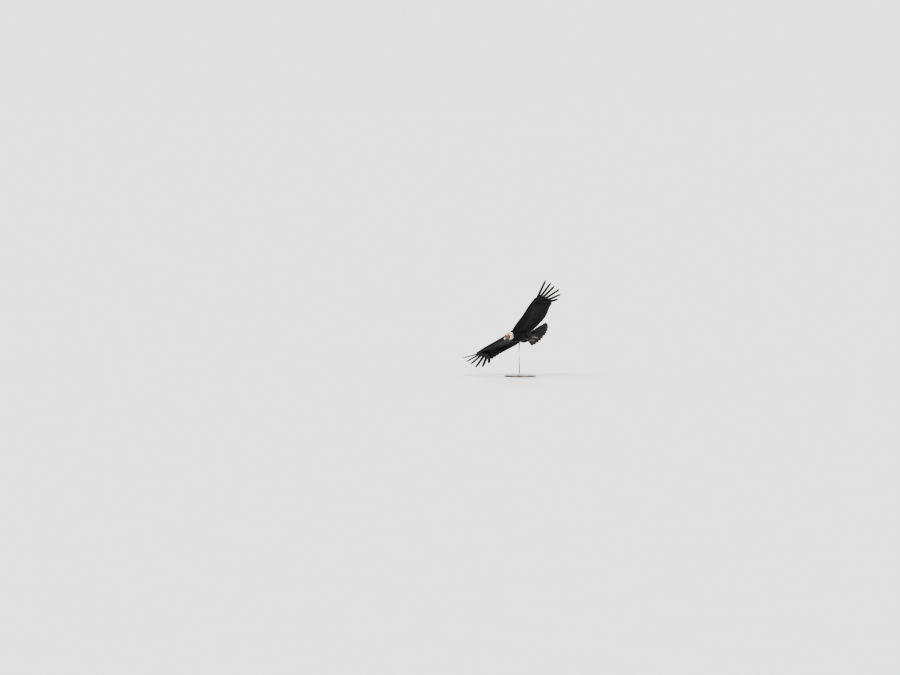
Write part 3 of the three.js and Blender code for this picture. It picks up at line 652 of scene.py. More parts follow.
def forward_edge(x, chord, tilt):
    """Width direction of a vane that points outwards: forward, its leading edge raised."""
    way = unit(wing_point(x, chord - 0.05) - wing_point(x, chord + 0.05))
    way[..., 2] += math.sin(tilt)
    return way


def round_tip(s, start=0.86, power=2.0):
    """How a vane's width runs out to a rounded tip, as a share of its full width."""
    t = np.clip((s - start) / (1 - start), 0, 1)
    return np.maximum(1 - t**power, 0.0) ** 0.5 * (1 - 0.04) + 0.04


def smooth_path(stops, s):
    """Points on a Catmull-Rom curve through three stops, as three.js draws it."""
    p = np.array([2 * stops[0] - stops[1], *stops, 2 * stops[-1] - stops[-2]])
    parts = len(stops) - 1
    at = np.clip(s * parts, 0, parts - 1e-9)
    i = at.astype(int)
    t = (at - i)[:, None]
    a, b, c, d = p[i], p[i + 1], p[i + 2], p[i + 3]
    bend, twist = 2 * a - 5 * b + 4 * c - d, 3 * b - a - 3 * c + d
    return 0.5 * (2 * b + (c - a) * t + bend * t**2 + twist * t**3)


def parted(half, random, s, count, depth=0.3):
    """Cuts a few narrow V notches into both edges of a vane, where its barbs have parted."""
    for column in (0, 1):
        for _ in range(random.randint(count - 1, count + 2)):
            at, wide = random.uniform(0.25, 0.97), random.uniform(0.006, 0.013)
            deep = random.uniform(0.3, 1)
            notch = np.clip(1 - np.abs(s - at) / wide, 0, 1)
            half[:, column] *= 1 - depth * deep * notch * (0.5 if column == 0 else 1)
    return half


print("feathers in a wing's two flight tiers:", PRIMARIES + SECONDARIES)

# %% Centre lines and widths of the flight feathers
def primary_vane(i, s, random):
    """Centre line, width direction and half widths of primary i, with 0 the outermost."""
    share = i / (PRIMARIES - 1)
    fingers = len(FINGER_TIPS)
    root_x = lerp(985, 812, share)
    root_chord = float(flesh_share(root_x)) * lerp(0.35, 0.75, share)
    root = wing_point(np.array(root_x), np.array(root_chord))
    grow = lerp(0.4, 1, np.minimum(1, s * 3))
    lead = 0.3 if i < fingers else 0.38
    if i >= fingers:
        tip_x = lerp(1040, 838, (i - fingers) / (PRIMARIES - 1 - fingers))
        centre = wing_point(root_x + (tip_x - root_x) * s, root_chord + (1.005 - root_chord) * s)
        side = outward_edge(np.array(root_x), np.array(0.7), VANE_TILT)
        wide = PRIMARY_WIDTH * grow * round_tip(s, 0.8)
    else:
        base_chord = (i + 0.5) / (fingers + 0.4)
        bow = FINGER_BOW * math.sin(math.pi * i / fingers)
        base = wing_point(np.array(FINGER_BASE_X + FINGER_BASE_STEP * i), np.array(base_chord), bow)
        tip = np.array(FINGER_TIPS[i], float)
        tip = tip + unit(base - tip) * 3
        centre = smooth_path([root, base, tip], s)
        side = forward_edge(np.array(FINGER_BASE_X - 40.0), np.array(base_chord), VANE_TILT)
        notch = lerp(0.3, 0.4, min(1, i / 3))
        narrow = smoothstep(s, notch, notch + 0.2)
        slim = FINGER_WIDTH * (1 - 0.5 * np.maximum(0, s - 0.6))
        wide = lerp(PRIMARY_WIDTH, slim, narrow) * grow * round_tip(s, 0.88, 1.7)
        lead = lerp(0.3, 0.36, narrow)
    half = np.stack([wide * lead, wide * (1 - lead)], -1)
    return centre, np.broadcast_to(side, centre.shape), parted(half, random, s, 3)


def secondary_vane(q, s, random):
    """The same for a secondary, with q 0 beside the body and 1 at the wrist."""
    root_x, tip_x = lerp(150, 792, q), lerp(170, 802, q) + random.uniform(-3, 3)
    start = float(flesh_share(root_x)) * 0.8
    reach = 1 + random.uniform(-0.006, 0.004)
    centre = wing_point(root_x + (tip_x - root_x) * s, start + (reach - start) * s)
    side = outward_edge(np.array(root_x), np.array(start), VANE_TILT)
    wide = SECONDARY_WIDTH * (0.5 + 0.5 * np.minimum(1, 2 * s)) * round_tip(s, 0.86)
    half = np.stack([wide * 0.4, wide * 0.6], -1)
    return centre, np.broadcast_to(side, centre.shape), parted(half, random, s, 3)


def tube_rings(centre, radius, sides, flat=1.0):
    """Closed tubes along centre (n, rows, 3) with radius (n, rows): points and faces."""
    n, rows = centre.shape[:2]
    ahead = unit(np.gradient(centre, axis=1))
    across = unit(np.cross(np.broadcast_to(UP, ahead.shape), ahead))
    rise = np.cross(ahead, across)
    angle = full_turn(sides)
    points = (
        centre[:, :, None]
        + across[:, :, None] * (radius[..., None] * np.sin(angle))[..., None]
        + rise[:, :, None] * (flat * radius[..., None] * np.cos(angle))[..., None]
    )
    k, row = np.arange(sides), np.arange(rows - 1)[:, None] * sides
    quads = np.stack([row + k, row + sides + k, row + sides + (k + 1) % sides, row + (k + 1) % sides], -1)
    shift = (np.arange(n) * rows * sides)[:, None, None]
    fan = np.stack([0 * k[1:-1], k[1:-1], k[1:-1] + 1], -1)
    ends = np.concatenate([fan, fan[:, ::-1] + (rows - 1) * sides])
    return points.reshape(-1, 3), [
        (quads.reshape(-1, 4) + shift).reshape(-1, 4), (ends + shift).reshape(-1, 3)
    ]


def join_parts(*parts):
    """Joins (points, [faces, ...]) parts into one."""
    points = np.concatenate([p for p, _ in parts])
    starts = np.cumsum([0] + [len(p) for p, _ in parts[:-1]])
    faces = [f + start for (_, listed), start in zip(parts, starts) for f in listed]
    return points, faces


print("a feather's centre line has", FLIGHT_ROWS, "rows")

# %% Build the flight feathers of both wings
def long_feathers(name, lines, white, mirror=False, quill=2.6, columns=8, cup=0.1, thickness=0.9):
    """A piece of long vanes and one of their shafts, from a list of (centre, side, half)."""
    centre, side, half = (np.array([line[part] for line in lines]) for part in range(3))
    points, faces, info = vanes(centre, side, half, UP, cup, thickness, columns)
    length = np.linalg.norm(np.diff(centre, axis=1), axis=-1).sum(1)
    rand = seeded(len(name)).rand(len(lines))
    vane_place, tone = vane_values(info, length, half, rand, white(info))
    rows = centre.shape[1]
    radius = np.broadcast_to(quill * (1 - 0.88 * np.linspace(0, 1, rows)), centre.shape[:2])
    shaft_end = int(rows * 0.97)
    shaft_points, shaft_faces = tube_rings(centre[:, :shaft_end:2], radius[:, :shaft_end:2], 6, 0.8)
    if mirror:
        points, shaft_points = mirrored(points), mirrored(shaft_points)
        faces, shaft_faces = flipped(faces), flipped(shaft_faces)
    piece = new_piece(name, points, faces, FLIGHT, "plumage", vane=vane_place, tone=tone,
                      bake=strip_map(info, faces))
    new_piece(name + "_shafts", shaft_points, shaft_faces, QUILL, "plumage")
    return piece


def white_of_secondaries(info):
    """Silvery over the exposed upper face, but dark along the hidden inner web and at the tip."""
    s, w = info["s"][None, :, None], info["w"][None, None, :]
    web = smoothstep(w, -0.75, -0.35)
    return web * (1 - smoothstep(s, 0.86, 0.95))


def white_of_primaries(info):
    """Only the inner four primaries carry pale outer webs, and less on each further out."""
    s, w = info["s"][None, :, None], info["w"][None, None, :]
    share = np.linspace(0, 1, info["n"])[:, None, None]
    inner = smoothstep(share, 0.6, 0.95)
    return inner * smoothstep(w, -0.4, 0.1) * (1 - smoothstep(s, 0.6 + 0.2 * share, 0.85))


WINGS = ("left", False), ("right", True)
along_vane = np.linspace(0, 1, FLIGHT_ROWS)
for wing_side, mirror in WINGS:
    draw = seeded(11 if mirror else 5)
    outer = [primary_vane(i, along_vane, draw) for i in range(PRIMARIES)]
    inner = [secondary_vane(q, along_vane, draw) for q in np.linspace(0, 1, SECONDARIES)]
    primaries = long_feathers(f"primaries_{wing_side}", outer, white_of_primaries, mirror)
    long_feathers(f"secondaries_{wing_side}", inner, white_of_secondaries, mirror, 1.9)
print("triangles in a wing's primaries:", triangles_of(primaries))

# %% [markdown]
# ## Coverts and the coat
#
# Over the roots of the flight feathers lie the greater and median coverts, each row a little shorter
# and higher than the one it covers. Ahead of them, and all over the body, the coat is made of small
# round-tipped feathers that lie aft and overlap like tiles. The rows follow the same functions as the
# flesh, so every feather bends with the form below it. A particle system would scatter them at
# random; rows that are shifted by half a feather look like a real coat.

# %% Places over the wing, and rows of coverts
COVERT_ROWS = 14


def wing_surface(x, chord, side, lift=0.0):
    """A point over the wing's flesh, and aft of the flesh over the flight feathers."""
    u = np.clip(chord / flesh_share(x), 0.0, 1.0)
    return wing_point(x, chord, side * (np.maximum(flesh_half(x, u), 3.5) + lift))


def contour_half(s, width, start=0.5):
    """Half widths of a round-tipped covert or body feather, both sides alike."""
    wide = width * (0.5 + 0.5 * np.minimum(1, 2.2 * s)) * round_tip(s, start, 2.1)
    return np.stack([wide / 2, wide / 2], -1)


def feather_piece(name, centre, side, half, outward, root_uv=None, white=0.0, mirror=False, columns=2,
                  cup=0.16, thickness=0.7, material=PLUMAGE, slot="plumage", seed=1, stops=None):
    """A piece of short feathers, with a patch each on the unrolled skin, or a strip for long ones."""
    points, faces, info = vanes(centre, side, half, outward, cup, thickness, columns, stops)
    length = np.linalg.norm(np.diff(centre, axis=1), axis=-1).sum(1)
    rand = seeded(seed).rand(len(centre))
    white = white(info, rand) if callable(white) else white
    place, tone = vane_values(info, length, half, rand, white)
    if mirror:
        points, faces = mirrored(points), flipped(faces)
    bake = strip_map(info, faces) if root_uv is None else patch_map(info, faces, root_uv)
    return new_piece(name, points, faces, material, slot, vane=place, tone=tone, bake=bake)


def covert_row(side, count, span, start, end, lift, width, seed):
    """A row of coverts on a wing's upper (1) or lower (-1) face, as (centre, side, half)."""
    draw = seeded(seed)
    s = np.linspace(0, 1, COVERT_ROWS)
    x0 = np.linspace(*span, count)[:, None] + draw.uniform(-2, 2, (count, 1))
    share = flesh_share(x0)
    low, high = share * start, lerp(share, 1, end) + draw.uniform(-0.008, 0.008, (count, 1))
    chord = low + (high - low) * s
    x = x0 + (4 + draw.uniform(-4, 4, (count, 1))) * s
    centre = wing_surface(x, chord, side, lerp(*lift, s) + draw.uniform(-0.4, 0.4, (count, 1)))
    way = unit(wing_point(x0 + 15, low) - wing_point(x0 - 15, low))
    way = np.broadcast_to(way, centre.shape) + UP * math.sin(VANE_TILT)
    half = np.broadcast_to(contour_half(s, width, 0.7), (count, COVERT_ROWS, 2))
    return centre, way, half


def hand_coverts(side, count, seed):
    """Coverts over the roots of the primaries, fanned like them."""
    draw = seeded(seed)
    s = np.linspace(0, 1, COVERT_ROWS)[None, :, None]
    share = np.linspace(0, 1, count)[:, None]
    root_x = lerp(985, 826, share)
    root = wing_point(root_x[:, 0], flesh_share(root_x[:, 0]) * 0.55, side * 3.0)
    way = unit(np.concatenate([lerp(1, 0.42, share), lerp(0.18, 0.9, share), 0 * share], -1))
    length = lerp(150, 178, share) * (1 + draw.uniform(-0.03, 0.03, (count, 1)))
    tip = root + way * length + 18 * UP * (1 - share)
    centre = root[:, None] + (tip - root)[:, None] * s
    centre = centre + side * UP * (3 + 4 * s)
    across = np.stack([way[:, 1], -way[:, 0], np.full(count, math.sin(VANE_TILT))], -1)
    half = np.broadcast_to(contour_half(s[0, :, 0], 40, 0.72), (count, COVERT_ROWS, 2))
    return centre, np.broadcast_to(across[:, None], centre.shape), half


def white_coverts(info, rand):
    """Silvery with a dark base; each feather ends its white at a place of its own."""
    s = info["s"][None, :, None]
    edge = 0.3 + 0.1 * rand[:, None, None]
    return smoothstep(s, edge, edge + 0.12) * np.ones((1, 1, len(info["w"])))


# Name, face, feathers, span over x, start on the flesh, reach aft of it, lift at root and tip, width, tone
COVERT_TIERS = [
    ("greater_coverts", 1, 23, (170, 800), 0.62, 0.46, (1.5, 7.5), 46, white_coverts),
    ("median_coverts", 1, 26, (158, 806), 0.62, 0.22, (3, 10), 42, 0.0),
    ("small_coverts", 1, 32, (150, 812), 0.5, 0.02, (3.5, 9), 34, 0.0),
    ("greater_under_coverts", -1, 23, (170, 800), 0.62, 0.34, (1.5, 5), 46, 0.0),
    ("median_under_coverts", -1, 26, (158, 806), 0.6, 0.14, (3, 7.5), 42, 0.0),
    ("small_under_coverts", -1, 32, (150, 812), 0.5, -0.02, (3.5, 7), 34, 0.0),
]
for wing_side, mirror in WINGS:
    for row, (name, face, count, span, start, end, lift, width, white) in enumerate(COVERT_TIERS):
        made = covert_row(face, count, span, start, end, lift, width, 20 + row + 9 * mirror)
        feather_piece(f"{name}_{wing_side}", *made, face * UP, white=white, mirror=mirror, columns=6,
                      cup=0.1, seed=row)
    for face, name in ((1, "primary_coverts"), (-1, "primary_under_coverts")):
        made = hand_coverts(face, 10, 60 + face + 5 * mirror)
        feather_piece(f"{name}_{wing_side}", *made, face * UP, mirror=mirror, columns=6, cup=0.1,
                      seed=7 + face)
print("rows of coverts on a wing:", len(COVERT_TIERS) + 2)

# %% Alula, scapulars and axillaries
def coat_grid(a_values, b_values, draw, jitter):
    """Places in rows, every other row shifted by half a step, each moved a little."""
    step = a_values[1] - a_values[0]
    a, b = np.meshgrid(a_values, b_values)
    a = a + step * 0.5 * (np.arange(len(b_values)) % 2)[:, None]
    a = a + draw.uniform(-jitter, jitter, a.shape) * step
    return a.ravel(), (b + draw.uniform(-jitter, jitter, b.shape) * (b_values[1] - b_values[0])).ravel()


def thumb_feathers(count=3):
    """The few stiff feathers of the thumb, at the leading edge of the wrist."""
    roots, tips = (
        np.array([wing_point(np.array(x - step * i), np.array(0.05 + slip * i), rise - sink * i)
                  for i in range(count)])
        for x, step, slip, rise, sink in ((812, 9, 0.025, 7, 0), (950, 30, 0.045, 19, 2.5))
    )
    s = np.linspace(0, 1, COVERT_ROWS)
    ways, lengths = unit(tips - roots), np.linalg.norm(tips - roots, axis=1)
    centre = roots[:, None] + ways[:, None] * (lengths[:, None] * s)[..., None]
    half = np.broadcast_to(contour_half(s, 27, 0.7), (count, COVERT_ROWS, 2))
    return centre, np.broadcast_to(np.cross(ways, UP)[:, None], centre.shape), half


def shoulder_feathers(face, seed):
    """Long feathers over (1) or under (-1) the join of wing and body, longest in the middle rows."""
    draw = seeded(seed)
    x, chord = coat_grid(np.linspace(74, 196, 8), np.linspace(0.1, 0.62, 8), draw, 0.22)
    chord = np.clip(chord, 0.08, 0.66)
    n = len(x)
    s = np.linspace(0, 1, COVERT_ROWS)
    outer = smoothstep(x, 120, 200)
    reach = (0.17 + 0.15 * smoothstep(chord, 0.1, 0.5)) * (1 - 0.35 * outer)
    reach = reach * (1 + draw.uniform(-0.12, 0.12, n))
    run_x = x[:, None] + ((4 + 10 * outer) * draw.uniform(0.4, 1.6, n))[:, None] * s
    run_chord = chord[:, None] + reach[:, None] * s
    lift = (3.5 - 1.5 * outer)[:, None] + 5 * s + draw.uniform(-0.6, 0.6, (n, 1))
    centre = wing_surface(run_x, run_chord, face, lift)
    way = unit(wing_surface(x + 12, chord, face) - wing_surface(x - 12, chord, face))
    way = np.broadcast_to(way[:, None] + np.array([0, 0, 0.08]), centre.shape)
    half = contour_half(s, 33, 0.6) * (1 - 0.25 * outer)[:, None, None]
    return centre, way, half


for wing_side, mirror in WINGS:
    for name, made, face in (
        ("alula", thumb_feathers(), 1),
        ("scapulars", shoulder_feathers(1, 3 + mirror), 1),
        ("axillaries", shoulder_feathers(-1, 5 + mirror), -1),
    ):
        feather_piece(f"{name}_{wing_side}", *made, face * UP, mirror=mirror, columns=6, cup=0.12, seed=13)
print("shoulder feathers above a wing:", len(shoulder_feathers(1, 3)[0]))

# %% Coat of the wings
def inside_torso(p, margin):
    wide, tall = along(TORSO, p[:, 1], 2) + margin, along(TORSO, p[:, 1], 3) + margin
    return (p[:, 0] / wide) ** 2 + ((p[:, 2] - along(TORSO, p[:, 1], 1)) / tall) ** 2 < 1


COAT_STOPS = np.array([0, 0.18, 0.36, 0.54, 0.7, 0.84, 0.94, 1.0])


def round_front(x, q, lift=0.0):
    """A point round the wing's flesh: q is -1 at the back of the lower face, 0 at the front, 1 above."""
    rise = np.clip(np.abs(q) / 0.3, 0, 1) * (math.pi / 2)
    u = np.minimum(q * q, 1)
    half = np.maximum(flesh_half(x, u), 3.5 * smoothstep(np.abs(q), 0, 0.6))
    point = wing_point(x, flesh_share(x) * q * q, np.sign(q) * half)
    off = np.stack([0 * rise, -np.cos(rise), np.sign(q) * np.sin(rise)], -1)
    return point + off * (lift + 0 * q)[..., None], off


def even_rows(start, end, pitch):
    """Values of q for rows that lie one pitch apart over the wing at mid span."""
    q = np.linspace(start, end, 500)
    run = np.linalg.norm(np.diff(round_front(500 + 0 * q, q)[0], axis=0), axis=1).cumsum()
    return np.interp(np.arange(0, run[-1], pitch), run, q[1:])


def wing_coat(face, seed):
    """Small feathers over the flesh of the left wing, on its upper or lower face."""
    draw = seeded(seed)
    start = -0.07 if face > 0 else 0.07
    x, q = coat_grid(np.arange(70, 1020, 13.5), even_rows(start, 0.95, 12.5), draw, 0.18)
    x = np.minimum(x, 1024)
    root, _ = round_front(x, face * q)
    keep = ~inside_torso(root, -14)
    x, q = x[keep], q[keep]
    n = len(x)
    length = (36 + 14 * q) * (1 + draw.uniform(-0.1, 0.1, n)) * lerp(1, 0.72, smoothstep(x, 800, 1000))
    drift = lerp(2, 16, smoothstep(x, 780, 980)) + draw.uniform(-5, 5, n)
    run_q = [q]
    for step in np.diff(COAT_STOPS):
        at = run_q[-1]
        ahead, behind = (round_front(x, face * (at + step))[0] for step in (0.01, -0.01))
        rate = np.linalg.norm(ahead - behind, axis=1)
        run_q.append(at + length * step * 0.02 / rate)
    run_q = np.stack(run_q, 1)
    s = COAT_STOPS
    lift = 0.7 + 3.4 * s - 0.8 * s**3 + draw.uniform(-0.35, 0.35, (n, 1))
    centre, off = round_front(np.minimum(x[:, None] + drift[:, None] * s, 1029), face * run_q, lift)
    way = np.broadcast_to(np.array([1, 0, 0.05]), centre.shape)
    half = contour_half(s, 23, 0.4) * (1 + draw.uniform(-0.1, 0.1, (n, 1, 1)))
    root_uv = np.stack([0.05 + 0.9 * x / 1030, 0.5 + face * (0.05 + 0.43 * q)], -1)
    return centre, way, half, np.broadcast_to(off[:, 4:5], centre.shape), root_uv


def edge_coat(seed):
    """Tiny feathers that point outwards along the leading edge and hide the parting of the coat."""
    draw = seeded(seed)
    x, q = coat_grid(np.arange(82, 1012, 11.0), np.linspace(-0.2, 0.09, 5), draw, 0.2)
    x = np.minimum(x, 1012)
    root, _ = round_front(x, q)
    keep = ~inside_torso(root, -10)
    x, q = x[keep], q[keep]
    n, s = len(x), COAT_STOPS
    run_q = q[:, None] + (0.05 * np.sign(q + 0.055) + draw.uniform(-0.03, 0.03, n))[:, None] * s
    length = draw.uniform(25, 33, n) * lerp(1, 0.7, smoothstep(x, 850, 1000))
    lift = 1.6 + 2.6 * s - 0.9 * s**3 + draw.uniform(-0.3, 0.3, (n, 1))
    centre, off = round_front(np.minimum(x[:, None] + length[:, None] * s, 1029), run_q, lift)
    side = np.cross(off, np.array([1.0, 0, 0]))
    half = contour_half(s, 15, 0.4) * (1 + draw.uniform(-0.1, 0.1, (n, 1, 1)))
    root_uv = np.stack([0.05 + 0.9 * x / 1030, 0.5 + 0.15 * q], -1)
    return centre, side, half, np.broadcast_to(off[:, 4:5], centre.shape), root_uv


wing_feathers = 0
for wing_side, mirror in WINGS:
    for label, made in (
        ("upper", wing_coat(1, 41 + 3 * mirror)), ("lower", wing_coat(-1, 39 + 3 * mirror)),
        ("edge", edge_coat(57 + mirror)),
    ):
        feather_piece(f"wing_coat_{label}_{wing_side}", *made, mirror=mirror, seed=51, thickness=0.5,
                      stops=COAT_STOPS)
        wing_feathers += len(made[0])
print("small feathers on the wings:", wing_feathers)

# %% Coat of the body
def inside_wing(p, margin):
    """Whether points of either side lie inside the flesh of the wing."""
    x = np.abs(p[:, 0])
    y0, y1 = along(LEADING_EDGE, x, 1), along(TRAILING_EDGE, x, 1)
    chord = (p[:, 1] - y0) / (y1 - y0)
    share = flesh_share(x)
    u = np.clip(chord / share, 0, 1)
    off = np.abs(p[:, 2] - wing_point(x, np.clip(chord, 0, 1))[:, 2])
    return (x > 60) & (chord > 0) & (chord < share) & (off < flesh_half(x, u) + margin)


def body_coat(seed):
    """Small feathers all round the torso, laid aft, over where the wings leave it bare."""
    draw = seeded(seed)
    turns = np.arange(0, 2 * math.pi - 0.01, 2 * math.pi / 50)
    angle, y = coat_grid(turns, np.arange(-294, 326, 12.0), draw, 0.2)
    keep = ~inside_wing(torso_point(y, angle), -4) & (y < lerp(268, 312, np.abs(np.sin(angle)) ** 4))
    angle, y = angle[keep], y[keep]
    n, s = len(y), COAT_STOPS
    length = lerp(42, 68, smoothstep(y, -290, 120)) * (1 + draw.uniform(-0.12, 0.12, n))
    turn = draw.uniform(-0.07, 0.07, n)
    run_y = y[:, None] + length[:, None] * s
    lift = 0.8 + 4.0 * s - 1.1 * s**3 + draw.uniform(-0.45, 0.45, (n, 1))
    centre = torso_point(run_y, angle[:, None] + turn[:, None] * s, lift)
    radial = np.stack([np.sin(angle), 0 * angle, np.cos(angle)], -1)[:, None]
    side = np.stack([np.cos(angle), 0 * angle, -np.sin(angle)], -1)[:, None]
    around = along(TORSO, y, 2) / 130
    size = lerp(0.62, 1, around) * (1 + draw.uniform(-0.1, 0.1, n))
    half = contour_half(s, 26, 0.4)[None] * size[:, None, None]
    share = (angle % (2 * math.pi)) / (2 * math.pi)
    root_uv = np.stack([0.04 + 0.92 * share, 0.04 + 0.92 * (y + 300) / 640], -1)
    return centre, np.broadcast_to(side, centre.shape), half, np.broadcast_to(radial, centre.shape), root_uv


centre, way, half, outward, root_uv = body_coat(71)
body_piece = feather_piece("body_coat", centre, way, half, outward, root_uv, thickness=0.5, seed=72,
                           stops=COAT_STOPS)
print("small feathers on the body:", len(centre), "with", triangles_of(body_piece), "triangles")

# %% Thighs
THIGH = [(62, 0, -66, 40), (72, 80, -100, 46), (70, 140, -112, 36), (64, 190, -116, 24), (61, 214, -115, 13)]


def thigh_point(side_sign, t, angle, lift=0.0):
    """A point of the feathered thigh, t 0 in the body and 1 at the hock."""
    x, y, z, r = through(THIGH, t)
    r = r + lift
    return np.stack([side_sign * (x + r * np.sin(angle)), y + 0 * r * angle, z + 0.8 * r * np.cos(angle)], -1)


def thigh_coat(side_sign, seed):
    draw = seeded(seed)
    turns = np.arange(0, 2 * math.pi - 0.01, 2 * math.pi / 19)
    angle, t = coat_grid(turns, np.linspace(0.03, 0.945, 21), draw, 0.2)
    n, s = len(t), COAT_STOPS
    run = np.minimum(t[:, None] + 0.22 * s * (1 + draw.uniform(-0.1, 0.1, (n, 1))), 1.1)
    lift = 0.8 + 4.6 * s - 1.4 * s**3 + draw.uniform(-0.4, 0.4, (n, 1))
    centre = thigh_point(side_sign, np.minimum(run, 1.0), angle[:, None], lift)
    centre[..., 1] += np.maximum(run - 1, 0) * 200
    radial = np.stack([side_sign * np.sin(angle), 0 * angle, np.cos(angle)], -1)[:, None]
    side = np.stack([side_sign * np.cos(angle), 0 * angle, -np.sin(angle)], -1)[:, None]
    half = contour_half(s, 19, 0.4)[None] * lerp(1, 0.5, t)[:, None, None]
    share = (angle % (2 * math.pi)) / (2 * math.pi)
    root_uv = np.stack([0.25 + 0.25 * side_sign + 0.45 * share, 0.05 + 0.9 * t], -1)
    return centre, np.broadcast_to(side, centre.shape), half, np.broadcast_to(radial, centre.shape), root_uv


for side_sign, label in ((1, "left"), (-1, "right")):
    feather_piece(f"thigh_coat_{label}", *thigh_coat(side_sign, 80 + side_sign), seed=83, thickness=0.5,
                  stops=COAT_STOPS)
print("small feathers on a thigh:", len(thigh_coat(1, 81)[0]))

# %% [markdown]
# ## Tail
#
# Twelve broad tail feathers fan out from under the rump, the middle pair on top. The whole fan is
# twisted about the body axis, as the bird steers with it, and two tiers of coverts hide its root
# above and below. Each feather has the same build as a flight feather of the wing.

# %% Tail feathers and tail coverts
TAIL_TWIST = math.radians(16)
TAIL_RISE = 34
TAIL_SPREAD = math.radians(38)
TAIL_ROOT_Y = 250
TAIL_ROOT_HALF_WIDTH = 74
TAIL_LENGTH = 534
TAIL_WIDTH = 72
TWIST = np.array(Matrix.Rotation(-TAIL_TWIST, 3, "Y"))


def rectrix(i, side_sign, s, random):
    """One feather of the fan, i 0 beside the middle."""
    share = (i + 0.5) / 6
    angle = side_sign * TAIL_SPREAD * share
    height = 4 - 2.6 * i - (1.3 if side_sign > 0 else 0)
    root = np.array([side_sign * TAIL_ROOT_HALF_WIDTH * share, TAIL_ROOT_Y - 10 * share, height])
    way = np.array([math.sin(angle), math.cos(angle), 0])
    length = TAIL_LENGTH * (1 - 0.235 * share**2) * (1 + random.uniform(-0.006, 0.004))
    centre = root + way * (length * s)[:, None]
    centre[:, 2] += TAIL_RISE * s - 8 * s * s
    wide = TAIL_WIDTH * (0.4 + 0.6 * np.minimum(1, 2 * s)) * round_tip(s, 0.84)
    half = parted(np.stack([wide * 0.42, wide * 0.58], -1), random, s, 3, 0.22)
    side = side_sign * np.array([way[1], -way[0], 0.03 * side_sign])
    return centre @ TWIST.T, np.broadcast_to(side @ TWIST.T, centre.shape), half


# What the tail coverts lie on beyond the body: y, z of the centre, half width, half height
RUMP = [(220, -18, 92, 70), (290, -13, 76, 48), (335, -10, 66, 31), (385, -7, 62, 17), (450, -4, 56, 6)]


def rump_height(x, y, face):
    """Height of the rump or of the fan, whichever is further out, in the tail's twisted frame."""
    turn = TAIL_TWIST * (1 - smoothstep(y, 300, 385))
    c, s = np.cos(turn), np.sin(turn)
    mid, wide, tall = (along(RUMP, y, k) for k in (1, 2, 3))
    a = (s / wide) ** 2 + (c / tall) ** 2
    b = c * (s * x - mid) / tall**2 - c * s * x / wide**2
    k = (c * x / wide) ** 2 + ((s * x - mid) / tall) ** 2 - 1
    inside = b * b - a * k
    oval = (face * (np.sqrt(np.maximum(inside, 0)) - 1.2 * np.sqrt(np.maximum(-inside, 0))) - b) / a
    from_hub = TAIL_ROOT_HALF_WIDTH / math.tan(TAIL_SPREAD)
    aft = y - TAIL_ROOT_Y + from_hub
    share = np.minimum(np.arctan2(np.abs(x), aft) / TAIL_SPREAD, 1)
    t = np.clip((np.hypot(x, aft) - from_hub) / TAIL_LENGTH, 0, 1)
    fan = 4 - 15.6 * share + TAIL_RISE * t - 8 * t * t + (3 if face > 0 else -4)
    return face * 7 * np.logaddexp(face * oval / 7, face * fan / 7)


def tail_coverts(face, root_y, reach, count, spread, width, seed, lift, rows=18):
    """One row of coverts, fanned like the tail and laid over whatever is below them."""
    draw = seeded(seed)
    share = np.linspace(-1, 1, count) + draw.uniform(-0.2, 0.2, count) / count
    angle = (spread * share)[:, None]
    s = np.linspace(0, 1, rows)
    run = (reach * (1 - 0.16 * share**2) * (1 + draw.uniform(-0.05, 0.05, count)))[:, None] * s
    y = root_y - 9 * (share**2)[:, None] + np.cos(angle) * run
    opened = 12 * np.logaddexp(0, (y - 300) / 12)
    x = 0.8 * along(RUMP, y, 2) * (np.sin(1.35 * share) / np.sin(1.35))[:, None] + np.tan(angle) * opened
    off = (lift - 2.5 * np.abs(share))[:, None] * (0.35 + 0.65 * s)
    centre = np.stack([x, y, rump_height(x, y, face) + face * off], -1)
    ahead = unit(np.gradient(centre[..., :2], axis=1))
    step = 7 * np.stack([ahead[..., 1], -ahead[..., 0]], -1)
    slope = rump_height(x + step[..., 0], y + step[..., 1], face) - rump_height(
        x - step[..., 0], y - step[..., 1], face)
    tilt = face * (0.7 * np.sign(share) * np.minimum(1, 4 * np.abs(share)))[:, None]
    side = np.stack([2 * step[..., 0], 2 * step[..., 1], slope + tilt], -1)
    half = np.broadcast_to(contour_half(s, width, 0.6), (count, rows, 2))
    return centre @ TWIST.T, side @ TWIST.T, half


draw = seeded(9)
along_tail = np.linspace(0, 1, 64)
fan = [rectrix(i, side_sign, along_tail, draw) for side_sign in (1, -1) for i in range(6)]
long_feathers("tail_feathers", fan, lambda info: 0.0, quill=2.4)
# Root, reach, feathers, spread and width of each tier
TAIL_TIERS = [
    (322, 186, 15, 0.58, 44), (307, 148, 15, 0.54, 42), (292, 116, 15, 0.48, 38),
    (275, 98, 15, 0.4, 34), (257, 86, 15, 0.32, 31), (238, 78, 15, 0.24, 29),
]
for face, label in ((1, "upper"), (-1, "under")):
    for tier, (root_y, reach, count, spread, width) in enumerate(TAIL_TIERS):
        centre, way, half = tail_coverts(
            face, root_y, reach, count - tier % 2, spread, width, 90 + tier + 7 * face, 4.0 + 1.4 * tier)
        feather_piece(f"tail_coverts_{label}_{tier + 1}", centre, way, half, np.array([0, 0, face]) @ TWIST.T,
                      columns=6, cup=0.1, seed=95 + tier)
print("tail feathers:", len(fan), "under", 2 * len(TAIL_TIERS), "rows of coverts")

# %% [markdown]
# ## Skin
#
# Under the coat one skin covers torso, wings and thighs without a seam. It is seen only as a dark
# down between feathers, so it can be plain. The closed forms are laid into one another and a voxel
# remesh welds them. The bare head and neck are made the same way at a much finer size, because there
# the folds, lids and creases are what one looks at.

